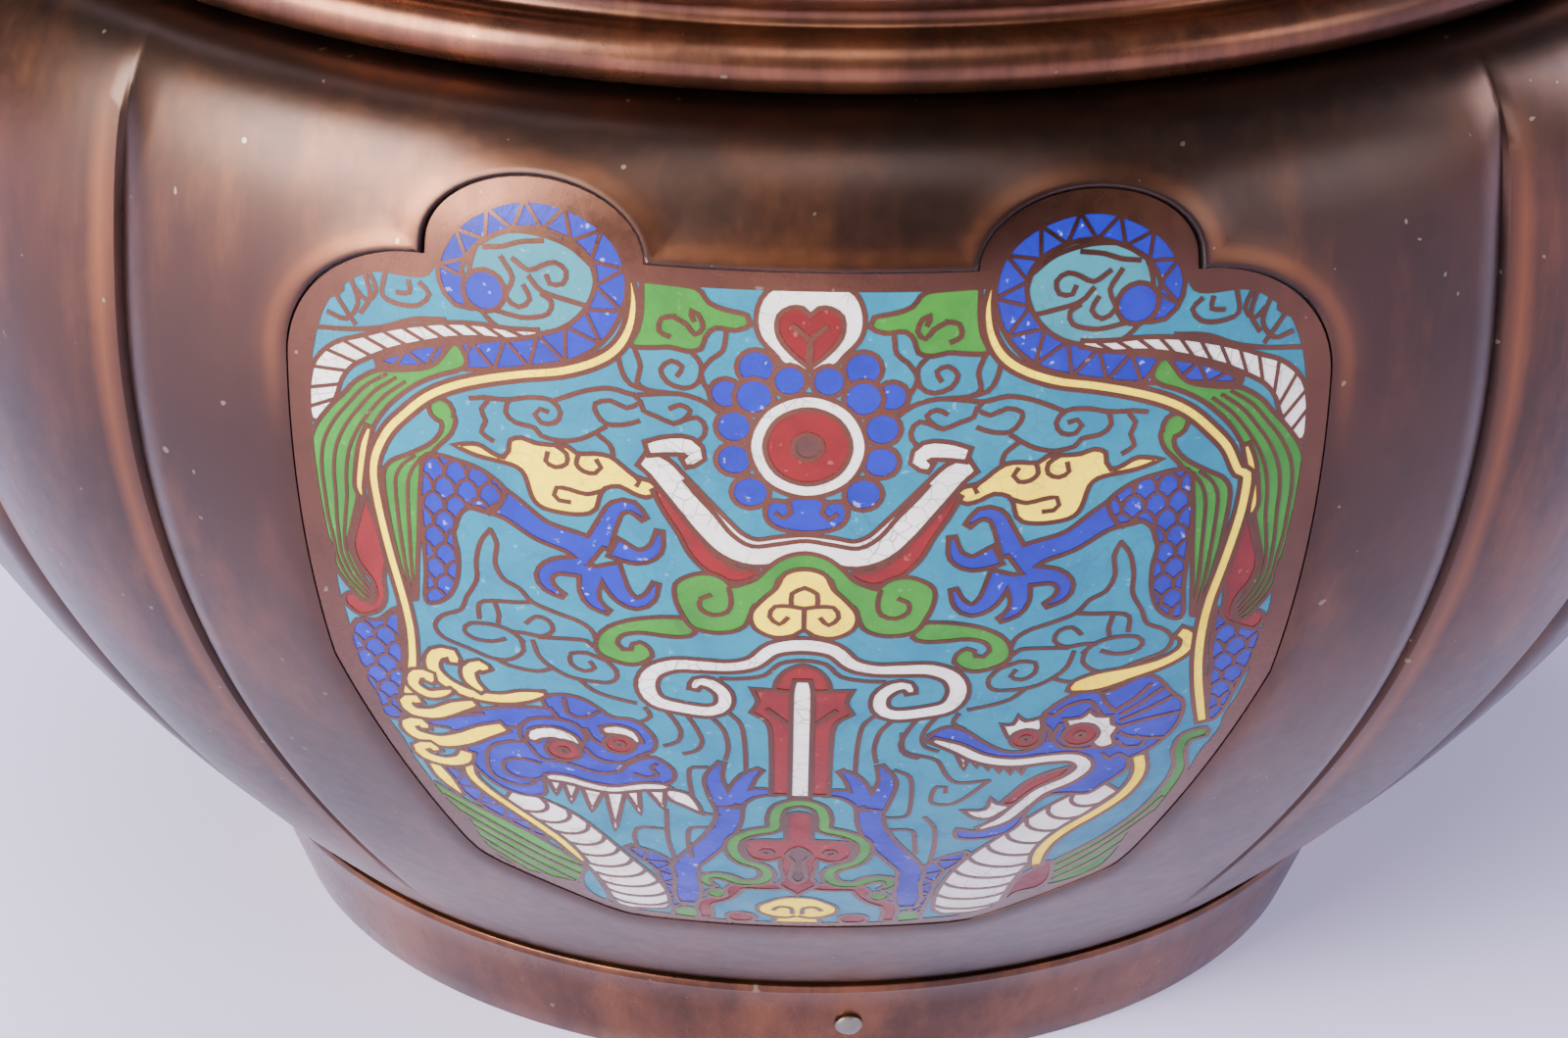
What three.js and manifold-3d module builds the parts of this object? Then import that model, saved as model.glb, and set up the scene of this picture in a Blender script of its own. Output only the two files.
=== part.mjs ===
// Lobed bronze cachepot with inset champleve enamel panels.
// Millimetres, +Z up. The origin is the centre of the foot's underside, and the first panel faces -Y.

import * as THREE from 'three';
import { mergeVertices } from 'three/addons/utils/BufferGeometryUtils.js';
import Module from 'manifold-3d';

const wasm = await Module();
wasm.setup();

// Foot ring: a plain band that narrows downwards, with a thin polished bead along its top edge.
const footHeight = 19;
const footTopRadius = 95;
const footBottomRadius = 87.3;
const footBoreRadius = 79;
const footBeadHeight = 1.8;
const footBeadStep = 0.5;

// Bowl: measured along its crest, up from where it sits on the foot.
const bowlSeatSetback = 0.6;
const bellyRise = 146;
const bellyRadius = 175;
const bellyPower = 2.03;
const shoulderRise = 40;
const shoulderPower = 2.7;
const neckRadius = 155;
const neckWall = 6;
const wallThickness = 3.8;
const floorThickness = 5;

// Spigot: a short ring under the bowl's floor that drops into the foot and takes the pins.
const spigotDepth = 14;
const spigotWidth = 6;

// Lobes: broad ones that carry the panels, with a narrow one between each two.
const lobeCount = 4;
const narrowLobeWidth = 49;
const grooveDepth = 2.6;
const grooveRoll = 7;
const arrisStep = 1.3;
const arrisWidth = 0.8;
const narrowLobeBulge = 2.4;
const grooveTipDrop = 8;
const grooveTopFade = 34;
const grooveFootFade = 70;

// Panels: enamelled plates let into the broad lobes.
const panelSideBand = 32;
const panelTopBand = 31.5;
const panelFootBand = 34.5;
const panelThickness = 1.2;
const panelSink = 0.4;
const panelFlatHalf = 24.9;
const humpHalfWidth = 16.8;
const humpRise = 11.5;
const panelShoulderDrop = 2.4;
const panelShoulderHeight = 23;
const panelCornerWidth = 40;
const panelKneeInset = 11.2;
const panelKneeRise = 18;
const panelSideRise = 75;

// Collar: half-round ring, shallow cove, small band and a rolled lip, turned as one.
const ringHeight = 9.8;
const ringBulge = 5;
const ringSetOut = 0.6;
const coveHeight = 4;
const coveDepth = 0.9;
const bandStep = 2;
const bandHeight = 7;
const bandBulge = 1.6;
const flareHeight = 6;
const flareOut = 6;
const lipRadius = 4.6;

// Pins: domed heads on the foot's face, with shanks that reach into the spigot.
const pinCount = 3;
const pinOffsetAngle = 5.6;
const pinHeight = 10;
const pinShankRadius = 1.6;
const pinHeadRadius = 2.3;
const pinHeadHeight = 1.1;
const pinGrip = 4;

// Clearances between pieces.
const seatGap = 0.3;
const seamGap = 0.45;
const boreClearance = 0.3;

// Fineness of the faceting.
const lobeCrestSteps = 8;
const rollSteps = 2;
const narrowLobeSteps = 4;
const bellyRows = 8;
const shoulderRows = 6;
const meridianSamples = 300;
const liningColumns = 8;
const liningRows = 6;
const flatSteps = 2;
const humpSteps = 4;
const sideSteps = 2;
const panelRows = 6;
const panelRowPower = 1.5;
const turnedSteps = 44;
const arcSteps = 4;
const pinSteps = 8;

const seatHeight = footHeight + seatGap;
const seatRadius = footTopRadius - bowlSeatSetback;
const mouthRadius = neckRadius - neckWall;
const bellyHeight = seatHeight + bellyRise;
const shoulderHeight = bellyHeight + shoulderRise;
const lobeAngle = (2 * Math.PI) / lobeCount;
const narrowHalfAngle = narrowLobeWidth / bellyRadius / 2;
const grooveAngle = lobeAngle / 2 - narrowHalfAngle;

const clamp01 = (value) => Math.min(1, Math.max(0, value));
const smooth = (value) => clamp01(value) ** 2 * (3 - 2 * clamp01(value));
const ease = (value) => 1 - (1 - clamp01(value)) ** 2;
const mix = (a, b, share) => a + (b - a) * share;

// The crest meridian below the belly, at a height given as a share of the belly's rise.
function bellyPoint(share) {
  const below = 1 - share;
  const slope = ((bellyRadius - seatRadius) * bellyPower * below ** (bellyPower - 1)) / bellyRise;
  const length = Math.hypot(1, slope);
  return {
    r: bellyRadius - (bellyRadius - seatRadius) * below ** bellyPower,
    z: seatHeight + bellyRise * share,
    nr: 1 / length,
    nz: -slope / length,
  };
}

// The crest meridian above the belly, a superellipse quarter that ends level at the neck.
function shoulderPoint(share) {
  const angle = (share * Math.PI) / 2;
  const out = Math.max(0, Math.cos(angle)) ** (2 / shoulderPower);
  const up = Math.sin(angle) ** (2 / shoulderPower);
  const normalR = out ** (shoulderPower - 1) / (bellyRadius - neckRadius);
  const normalZ = up ** (shoulderPower - 1) / shoulderRise;
  const length = Math.hypot(normalR, normalZ);
  return {
    r: neckRadius + (bellyRadius - neckRadius) * out,
    z: bellyHeight + shoulderRise * up,
    nr: normalR / length,
    nz: normalZ / length,
  };
}

// A fine table of the meridian with its running length, which every other shape on it reads.
const meridian = [];
for (let i = 0; i <= meridianSamples; i += 1) {
  meridian.push(bellyPoint(i / meridianSamples));
}
for (let i = 1; i <= meridianSamples; i += 1) {
  meridian.push(shoulderPoint(i / meridianSamples));
}
meridian[0].s = 0;
for (let i = 1; i < meridian.length; i += 1) {
  const step = Math.hypot(meridian[i].r - meridian[i - 1].r, meridian[i].z - meridian[i - 1].z);
  meridian[i].s = meridian[i - 1].s + step;
}
const meridianLength = meridian[meridian.length - 1].s;

// The meridian's point and normal at a running length from the foot.
function meridianAt(s) {
  const next = meridian.findIndex((point) => point.s >= s);
  const j = Math.max(1, next < 0 ? meridian.length - 1 : next);
  const a = meridian[j - 1];
  const b = meridian[j];
  const share = clamp01((s - a.s) / (b.s - a.s));
  return {
    r: mix(a.r, b.r, share),
    z: mix(a.z, b.z, share),
    nr: mix(a.nr, b.nr, share),
    nz: mix(a.nz, b.nz, share),
    s,
  };
}

// How far the lobed surface lies inside the crest surface, at an angle and a running length.
function lobeDepth(theta, s) {
  const turn = theta - lobeAngle * Math.round(theta / lobeAngle);
  const across = (grooveAngle - Math.abs(turn)) * bellyRadius;
  const tip = meridianLength - grooveTipDrop;
  const fade = smooth((tip - s) / grooveTopFade) * smooth(s / grooveFootFade);
  if (across >= 0) {
    return fade * grooveDepth * (1 - ease(across / grooveRoll));
  }
  const beyond = -across - arrisWidth;
  if (beyond < 0) {
    return fade * (grooveDepth - (arrisStep * -across) / arrisWidth);
  }
  const bulge = narrowLobeBulge * ease(beyond / (narrowLobeWidth / 2 - arrisWidth));
  return fade * (grooveDepth - arrisStep - bulge);
}

// A point of the bowl, moved out along the meridian's normal. Angle 0 faces -Y.
function bowlPoint(theta, at, offset) {
  const r = at.r + at.nr * offset;
  return [r * Math.sin(theta), -r * Math.cos(theta), at.z + at.nz * offset];
}

// Turns rows of points that close on themselves into one closed solid with flat ends.
function solidFromRings(rings) {
  const vertices = rings.flat();
  const triangles = [];
  const count = rings[0].length;
  for (let j = 0; j + 1 < rings.length; j += 1) {
    for (let i = 0; i < count; i += 1) {
      const a = j * count + i;
      const b = j * count + ((i + 1) % count);
      triangles.push([a, b, b + count], [a, b + count, a + count]);
    }
  }
  const centreOf = (ring) => [0, 0, ring[0][2]];
  const low = vertices.push(centreOf(rings[0])) - 1;
  const high = vertices.push(centreOf(rings[rings.length - 1])) - 1;
  const last = (rings.length - 1) * count;
  for (let i = 0; i < count; i += 1) {
    const next = (i + 1) % count;
    triangles.push([low, next, i], [high, last + i, last + next]);
  }
  return manifoldFrom(vertices, triangles);
}

function manifoldFrom(vertices, triangles) {
  return new wasm.Manifold(
    new wasm.Mesh({
      numProp: 3,
      vertProperties: new Float32Array(vertices.flat()),
      triVerts: new Uint32Array(triangles.flat()),
    }),
  );
}

// A three.js geometry, moved by a matrix, as a solid.
function manifoldFromGeometry(geometry, matrix = new THREE.Matrix4()) {
  const bare = geometry.clone().applyMatrix4(matrix);
  bare.deleteAttribute('normal');
  bare.deleteAttribute('uv');
  const merged = mergeVertices(bare, 1e-4);
  return new wasm.Manifold(
    new wasm.Mesh({
      numProp: 3,
      vertProperties: new Float32Array(merged.attributes.position.array),
      triVerts: new Uint32Array(merged.index.array),
    }),
  );
}

function geometryFrom(solid) {
  const mesh = solid.getMesh();
  const geometry = new THREE.BufferGeometry();
  geometry.setAttribute('position', new THREE.BufferAttribute(mesh.vertProperties, 3));
  geometry.setIndex(new THREE.BufferAttribute(mesh.triVerts, 1));
  const faceted = geometry.toNonIndexed();
  faceted.computeVertexNormals();
  return faceted;
}

// A turned ring from its section, a loop of [radius, height] points.
function turnedRing(section) {
  const points = section.map(([r, z]) => new THREE.Vector2(r, z));
  points.push(points[0].clone());
  const geometry = new THREE.LatheGeometry(points, turnedSteps);
  return manifoldFromGeometry(geometry, new THREE.Matrix4().makeRotationX(Math.PI / 2));
}

// Angles round the bowl that follow the lobes, with short steps in the grooves.
function lobedAngles() {
  const roll = grooveRoll / bellyRadius;
  const arris = arrisWidth / bellyRadius;
  const half = [];
  for (let i = 0; i < lobeCrestSteps / 2; i += 1) {
    half.push(((grooveAngle - roll) * i) / (lobeCrestSteps / 2));
  }
  for (let i = 0; i <= rollSteps; i += 1) {
    half.push(grooveAngle - roll + (roll * i) / rollSteps);
  }
  for (let i = 0; i < narrowLobeSteps / 2; i += 1) {
    half.push(grooveAngle + arris + ((narrowHalfAngle - arris) * i) / (narrowLobeSteps / 2));
  }
  const mirrored = half.slice(1).reverse().map((angle) => lobeAngle - angle);
  const oneLobe = [...half, lobeAngle / 2, ...mirrored];
  const angles = [];
  for (let k = 0; k < lobeCount; k += 1) {
    angles.push(...oneLobe.map((angle) => angle + k * lobeAngle));
  }
  return angles;
}

// Running lengths of the rows up the bowl's outside.
function bowlRows() {
  const rows = [];
  for (let i = 0; i <= bellyRows; i += 1) {
    rows.push(meridian[Math.round((meridianSamples * i) / bellyRows)].s);
  }
  for (let i = 1; i <= shoulderRows; i += 1) {
    rows.push(meridian[meridianSamples + Math.round((meridianSamples * i) / shoulderRows)].s);
  }
  return rows;
}

function bowlOutside() {
  const angles = lobedAngles();
  const rings = bowlRows().map((s) => {
    const at = meridianAt(s);
    return angles.map((theta) => bowlPoint(theta, at, -lobeDepth(theta, s)));
  });
  return solidFromRings(rings);
}

// The hollow of the bowl: the lobed outside moved in by the wall, over a level floor.
function bowlHollow() {
  const floorHeight = seatHeight + floorThickness;
  const start = meridian.find((at) => at.z - at.nz * wallThickness > floorHeight).s;
  const count = liningColumns * lobeCount;
  const angles = Array.from({ length: count }, (_, i) => (2 * Math.PI * i) / count);
  const ringAt = (s) => {
    const at = meridianAt(s);
    return angles.map((theta) => bowlPoint(theta, at, -wallThickness - lobeDepth(theta, s)));
  };
  const rings = [];
  for (let j = 0; j <= liningRows; j += 1) {
    rings.push(ringAt(mix(start, meridianLength, ease(j / liningRows))));
  }
  rings[0] = rings[0].map(([x, y]) => [x, y, floorHeight]);
  for (const z of [shoulderHeight - wallThickness, shoulderHeight + wallThickness]) {
    rings.push(angles.map((theta) => [mouthRadius * Math.sin(theta), -mouthRadius * Math.cos(theta), z]));
  }
  return solidFromRings(rings);
}

// The panel's outline as columns across it: a place round the bowl, and where it starts and ends.
function panelColumns(grow) {
  const halfWidth = grooveAngle * bellyRadius - panelSideBand + grow;
  const low = panelFootBand - grow;
  const flat = meridianLength - panelTopBand + grow;
  const flatHalf = panelFlatHalf - grow;
  const humpWidth = humpHalfWidth + grow;
  const shoulderStart = flatHalf + 2 * humpWidth;
  const knee = halfWidth - panelKneeInset;
  const foot = (x) => {
    const kneeWidth = panelCornerWidth - panelKneeInset;
    const slope = clamp01((x - halfWidth + panelCornerWidth) / kneeWidth);
    const side = clamp01((x - knee) / panelKneeInset);
    return low + panelKneeRise * slope + (panelSideRise - panelKneeRise) * side;
  };
  const half = [];
  for (let i = 0; i < flatSteps; i += 1) {
    half.push([(flatHalf * i) / flatSteps, flat]);
  }
  for (let i = 0; i < humpSteps; i += 1) {
    const angle = (Math.PI * i) / humpSteps;
    const x = flatHalf + humpWidth * (1 - Math.cos(angle));
    half.push([x, flat + humpRise * Math.sin(angle)]);
  }
  const sides = Array.from({ length: sideSteps + 1 }, (_, i) => mix(knee, halfWidth, ease(i / sideSteps)));
  for (const x of [shoulderStart, ...sides]) {
    const out = (x - shoulderStart) / (halfWidth - shoulderStart);
    const drop = mix(panelShoulderHeight, panelShoulderDrop, Math.sqrt(Math.max(0, 1 - out ** 2)));
    half.push([x, flat - drop]);
  }
  const right = half.map(([x, high]) => ({ x, low: foot(x), high }));
  const left = right.slice(1).reverse().map((column) => ({ ...column, x: -column.x }));
  return [...left, ...right];
}

// A slab that follows the bowl under an outline, between two offsets from the crest surface. Its rows
// lie closer together towards the shoulder, where the bowl bends most.
function slabOnBowl(columns, inner, outer) {
  const vertices = [];
  const rows = panelRows + 1;
  for (const offset of [inner, outer]) {
    for (const { x, low, high } of columns) {
      for (let j = 0; j < rows; j += 1) {
        const share = 1 - (1 - j / panelRows) ** panelRowPower;
        const at = meridianAt(mix(low, high, share));
        vertices.push(bowlPoint(x / bellyRadius, at, offset));
      }
    }
  }
  const face = columns.length * rows;
  const triangles = [];
  const quad = (a, b, c, d) => triangles.push([a, b, c], [a, c, d]);
  for (let i = 0; i + 1 < columns.length; i += 1) {
    const a = i * rows;
    const b = a + rows;
    for (let j = 0; j < panelRows; j += 1) {
      quad(a + j, a + j + 1, b + j + 1, b + j);
      quad(face + a + j, face + b + j, face + b + j + 1, face + a + j + 1);
    }
    quad(a, b, face + b, face + a);
    quad(a + panelRows, face + a + panelRows, face + b + panelRows, b + panelRows);
  }
  const end = (columns.length - 1) * rows;
  for (let j = 0; j < panelRows; j += 1) {
    quad(j, face + j, face + j + 1, j + 1);
    quad(end + j, end + j + 1, face + end + j + 1, face + end + j);
  }
  return manifoldFrom(vertices, triangles);
}

// The radius of the foot's sloping face at a height.
function footFaceRadius(z) {
  return mix(footBottomRadius, footTopRadius - footBeadStep, z / (footHeight - footBeadHeight));
}

function footSection() {
  const beadFoot = footHeight - footBeadHeight;
  return [
    [footBoreRadius, 0],
    [footBottomRadius, 0],
    [footFaceRadius(beadFoot), beadFoot],
    [footTopRadius, beadFoot + footBeadStep],
    [footTopRadius, footHeight],
    [footBoreRadius, footHeight],
  ];
}

function spigotSection() {
  const outer = footBoreRadius - seatGap;
  const top = seatHeight + floorThickness / 2;
  return [
    [outer - spigotWidth, seatHeight - spigotDepth],
    [outer, seatHeight - spigotDepth],
    [outer, top],
    [outer - spigotWidth, top],
  ];
}

// Points of an arc in the section plane, its ends included.
function arc(centreR, centreZ, radiusR, radiusZ, from, to) {
  return Array.from({ length: arcSteps + 1 }, (_, i) => {
    const angle = mix(from, to, i / arcSteps);
    return [centreR + radiusR * Math.cos(angle), centreZ + radiusZ * Math.sin(angle)];
  });
}

function collarSection() {
  const quarter = Math.PI / 2;
  const foot = shoulderHeight + seatGap;
  const ringR = neckRadius + ringSetOut;
  const coveTop = foot + ringHeight + coveHeight;
  const bandR = ringR + bandStep;
  const bandTop = coveTop + bandHeight;
  const lipR = bandR + flareOut;
  const lipZ = bandTop + flareHeight + lipRadius;
  return [
    [mouthRadius, foot],
    ...arc(ringR, foot + ringHeight / 2, ringBulge, ringHeight / 2, -quarter, quarter),
    [ringR - coveDepth, foot + ringHeight + coveHeight / 3],
    [ringR, coveTop - coveHeight / 4],
    [bandR, coveTop],
    [bandR + bandBulge, coveTop + bandHeight / 2],
    [bandR, bandTop],
    [mix(bandR, lipR, 1 / 3), bandTop + flareHeight / 2],
    ...arc(lipR, lipZ, lipRadius, lipRadius, -quarter, 2 * quarter),
    [lipR - lipRadius, lipZ - lipRadius / 2],
    [mouthRadius, bandTop],
  ];
}

// Where a pin sits on the foot: its axis points out of the sloping face.
function pinPlacement(index) {
  const turn = THREE.MathUtils.degToRad(pinOffsetAngle) + (2 * Math.PI * index) / pinCount;
  const slope = Math.atan2(
    footTopRadius - footBeadStep - footBottomRadius,
    footHeight - footBeadHeight,
  );
  const place = new THREE.Object3D();
  place.rotation.set(0, slope, turn - Math.PI / 2, 'ZYX');
  const r = footFaceRadius(pinHeight);
  place.position.set(r * Math.sin(turn), -r * Math.cos(turn), pinHeight);
  place.updateMatrix();
  return place;
}

// How deep a pin reaches: through the foot and its clearance, and on into the spigot.
function pinReach() {
  return footFaceRadius(pinHeight) - footBoreRadius + seatGap + pinGrip;
}

// A pin along +X with its head's seat at the origin.
function pinGeometry() {
  const reach = pinReach();
  const points = [new THREE.Vector2(0, -reach), new THREE.Vector2(pinShankRadius, -reach)];
  points.push(new THREE.Vector2(pinShankRadius, seatGap));
  for (let i = 0; i <= arcSteps; i += 1) {
    const angle = (Math.PI / 2) * (i / arcSteps);
    const edge = i === arcSteps ? 0 : pinHeadRadius * Math.cos(angle);
    points.push(new THREE.Vector2(edge, seatGap + pinHeadHeight * Math.sin(angle)));
  }
  const geometry = new THREE.LatheGeometry(points, pinSteps);
  geometry.rotateZ(-Math.PI / 2);
  return geometry;
}

// The hole for a pin: its shank with clearance, open at the foot's face and blind in the spigot.
function pinBore(place) {
  const reach = pinReach() + boreClearance;
  const bore = new THREE.CylinderGeometry(
    pinShankRadius + boreClearance,
    pinShankRadius + boreClearance,
    reach + pinHeadHeight,
    pinSteps,
  );
  bore.rotateZ(-Math.PI / 2);
  bore.translate((pinHeadHeight - reach) / 2, 0, 0);
  return manifoldFromGeometry(bore, place.matrix);
}

const pins = Array.from({ length: pinCount }, (_, i) => pinPlacement(i));

function buildFoot() {
  return pins.reduce((foot, place) => foot.subtract(pinBore(place)), turnedRing(footSection()));
}

function buildBowl() {
  const recessDepth = panelSink + panelThickness + seatGap;
  const recess = slabOnBowl(panelColumns(seamGap), -recessDepth, wallThickness);
  let bowl = bowlOutside().add(turnedRing(spigotSection())).subtract(bowlHollow());
  for (let k = 0; k < lobeCount; k += 1) {
    bowl = bowl.subtract(recess.rotate([0, 0, THREE.MathUtils.radToDeg(lobeAngle * k)]));
  }
  return pins.reduce((solid, place) => solid.subtract(pinBore(place)), bowl);
}

const bronze = { color: 0x5c3a2c, roughness: 0.42, metalness: 0.9 };
const rubbedBronze = { color: 0x8a5440, roughness: 0.38, metalness: 0.9 };
const enamel = { color: 0x3f97ad, roughness: 0.3, metalness: 0 };
const pinMetal = { color: 0x7d7466, roughness: 0.5, metalness: 0.8 };

function namedMesh(name, geometry, finish) {
  const mesh = new THREE.Mesh(geometry, new THREE.MeshStandardMaterial(finish));
  mesh.name = name;
  return mesh;
}

const cachepot = new THREE.Group();
cachepot.add(namedMesh('bowl', geometryFrom(buildBowl()), bronze));
cachepot.add(namedMesh('neck_collar', geometryFrom(turnedRing(collarSection())), rubbedBronze));
cachepot.add(namedMesh('foot_ring', geometryFrom(buildFoot()), rubbedBronze));

const panel = geometryFrom(slabOnBowl(panelColumns(0), -panelSink - panelThickness, -panelSink));
for (let k = 0; k < lobeCount; k += 1) {
  const mesh = namedMesh(`enamel_panel_${k + 1}`, panel.clone(), enamel);
  mesh.rotation.z = lobeAngle * k;
  cachepot.add(mesh);
}

pins.forEach((place, index) => {
  const mesh = namedMesh(`foot_pin_${index + 1}`, pinGeometry(), pinMetal);
  mesh.position.copy(place.position);
  mesh.rotation.copy(place.rotation);
  cachepot.add(mesh);
});

export default cachepot;
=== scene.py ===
"""Looks of a lobed bronze cachepot with four champleve enamel panels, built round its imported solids."""

import logging
import math
from dataclasses import dataclass, field
from enum import Enum

import bmesh
import bpy
import numpy as np
from mathutils import Matrix, Vector
from mathutils.geometry import delaunay_2d_cdt


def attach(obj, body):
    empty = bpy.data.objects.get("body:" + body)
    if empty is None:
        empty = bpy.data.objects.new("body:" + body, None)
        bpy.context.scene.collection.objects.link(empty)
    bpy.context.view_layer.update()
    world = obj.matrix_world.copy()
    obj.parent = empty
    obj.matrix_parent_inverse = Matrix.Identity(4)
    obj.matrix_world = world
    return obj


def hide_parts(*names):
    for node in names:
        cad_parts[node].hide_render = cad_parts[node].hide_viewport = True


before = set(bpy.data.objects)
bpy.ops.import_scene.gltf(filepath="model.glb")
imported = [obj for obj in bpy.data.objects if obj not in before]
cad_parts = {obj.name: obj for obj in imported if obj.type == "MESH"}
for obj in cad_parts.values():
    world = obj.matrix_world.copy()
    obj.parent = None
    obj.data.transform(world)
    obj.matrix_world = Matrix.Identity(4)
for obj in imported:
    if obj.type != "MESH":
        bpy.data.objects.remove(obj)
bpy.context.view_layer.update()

log = logging.getLogger("cachepot")

MM = 0.001
BODY = "root"
SIDES = (-1, 1)

Tree = bpy.types.NodeTree
Socket = bpy.types.NodeSocket
Colour = tuple[float, float, float, float]


class Slot(Enum):
    """Finishes of the record that a piece can take."""

    PATINATED_BRONZE = "patinated_bronze"
    RUBBED_BRONZE = "rubbed_bronze"
    PANEL_BRONZE = "panel_bronze"
    ENAMEL = "enamel"
    PIN_METAL = "pin_metal"


class Tint(Enum):
    """What fills a region of the panel: bare bronze, or one colour of enamel."""

    BRONZE = 0
    TURQUOISE = 1
    TEAL = 2
    BLUE = 3
    GREEN = 4
    YELLOW = 5
    RED = 6
    WHITE = 7
    DARK = 8


def clamp01(value: np.ndarray) -> np.ndarray:
    """Values held between 0 and 1."""
    return np.clip(value, 0.0, 1.0)


def smooth(value: np.ndarray) -> np.ndarray:
    """A soft step from 0 to 1."""
    return clamp01(value) ** 2 * (3 - 2 * clamp01(value))


def ease(value: np.ndarray) -> np.ndarray:
    """A rise from 0 to 1 that starts steep and ends level."""
    return 1 - (1 - clamp01(value)) ** 2


def ridge(value: np.ndarray, middle: float, width: float) -> np.ndarray:
    """A soft line, 1 in its middle."""
    return np.exp(-((value - middle) / width) ** 2)


def linear(code: str) -> Colour:
    """An sRGB hex colour as linear RGBA.

    Args:
        code: Six hex digits.

    Returns:
        The linear colour with full alpha.
    """
    parts = [int(code[i:i + 2], 16) / 255 for i in (0, 2, 4)]
    low, knee, power = 12.92, 0.04045, 2.4
    rgb = [p / low if p <= knee else ((p + 0.055) / 1.055) ** power for p in parts]
    return (rgb[0], rgb[1], rgb[2], 1.0)


def add(tree: Tree, kind: str, inputs: dict | None = None, **settings: object) -> bpy.types.Node:
    """Adds a node with its settings, values and links.

    Args:
        tree: The node tree it goes into.
        kind: The node's type name.
        inputs: Output sockets or constants by the input that they go to.
        settings: Properties of the node itself.

    Returns:
        The new node.
    """
    node = tree.nodes.new(kind)
    for name, value in settings.items():
        setattr(node, name, value)
    for key, value in (inputs or {}).items():
        if isinstance(value, Socket):
            tree.links.new(value, node.inputs[key])
        else:
            node.inputs[key].default_value = value
    return node


def weld_mesh(mesh: bpy.types.Mesh, distance: float) -> None:
    """Merges a mesh's doubles and turns its faces outwards.

    Args:
        mesh: The mesh.
        distance: Merge distance in metres.
    """
    work = bmesh.new()
    work.from_mesh(mesh)
    bmesh.ops.remove_doubles(work, verts=work.verts, dist=distance)
    bmesh.ops.recalc_face_normals(work, faces=work.faces)
    work.to_mesh(mesh)
    work.free()


def show_mesh(name: str, mesh: bpy.types.Mesh, crease: float) -> bpy.types.Object:
    """Shades a mesh, sharp past an angle in degrees, and links it as an object at the origin.

    Args:
        name: Its name.
        mesh: The mesh.
        crease: The angle in degrees past which an edge is shaded sharp.

    Returns:
        The new object.
    """
    mesh.shade_smooth()
    mesh.set_sharp_from_angle(angle=math.radians(crease))
    piece = bpy.data.objects.new(name, mesh)
    bpy.context.scene.collection.objects.link(piece)
    return piece


def mesh_object(
    name: str,
    points: np.ndarray,
    faces: list,
    materials: list[bpy.types.Material],
    face_tints: np.ndarray | None = None,
    weld: float = 0.0,
    crease: float = 30.0,
) -> bpy.types.Object:
    """Makes a piece from points in millimetres, welded and with its faces pointing out where asked.

    Args:
        name: The piece's name.
        points: Vertex positions, n by 3, in millimetres.
        faces: Vertex indices of each face.
        materials: The piece's materials, in slot order.
        face_tints: The material slot of each face.
        weld: Merge distance in millimetres. Normals are recalculated when it isn't zero.
        crease: The angle in degrees past which an edge is shaded sharp.

    Returns:
        The new object at the origin.
    """
    mesh = bpy.data.meshes.new(name)
    mesh.from_pydata((points * MM).tolist(), [], faces)
    if face_tints is not None:
        mesh.polygons.foreach_set("material_index", np.asarray(face_tints, np.int32))
    if weld:
        weld_mesh(mesh, weld * MM)
    for material in materials:
        mesh.materials.append(material)
    return show_mesh(name, mesh, crease)


def place_piece(piece: bpy.types.Object, slot: Slot, *nodes: str) -> None:
    """Rides a finished piece on the body and hides the solids that it stands for.

    Args:
        piece: The finished piece.
        slot: Not used.
        nodes: CAD nodes that it replaces.
    """
    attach(piece, BODY)
    if nodes:
        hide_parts(*nodes)
    log.info("%s: %d faces", piece.name, len(piece.data.polygons))


def inside(loop: np.ndarray, points: np.ndarray) -> np.ndarray:
    """Which points a closed loop winds round.

    Args:
        loop: Corners of the loop, m by 2.
        points: Points to test, n by 2.

    Returns:
        One truth value for each point.
    """
    found = np.zeros(len(points), bool)
    low, high = loop.min(0), loop.max(0)
    near = np.flatnonzero(((points >= low) & (points <= high)).all(1))
    if not len(near):
        return found
    px, py = points[near, 0][:, None], points[near, 1][:, None]
    x0, y0 = loop[:, 0][None], loop[:, 1][None]
    following = np.roll(loop, -1, 0)
    x1, y1 = following[:, 0][None], following[:, 1][None]
    side = (x1 - x0) * (py - y0) - (px - x0) * (y1 - y0)
    rising = (y0 <= py) & (y1 > py) & (side > 0)
    falling = (y0 > py) & (y1 <= py) & (side < 0)
    found[near] = rising.sum(1) != falling.sum(1)
    return found


def gap_to(loop: np.ndarray, points: np.ndarray) -> np.ndarray:
    """Distance from each point to a closed loop.

    Args:
        loop: Corners of the loop, m by 2.
        points: Points, n by 2.

    Returns:
        The distances.
    """
    reach = np.full(len(points), np.inf)
    for start, step in zip(loop, np.roll(loop, -1, 0) - loop):
        share = clamp01(((points - start) @ step) / (step @ step))
        reach = np.minimum(reach, np.hypot(*(points - start - share[:, None] * step).T))
    return reach


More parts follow.
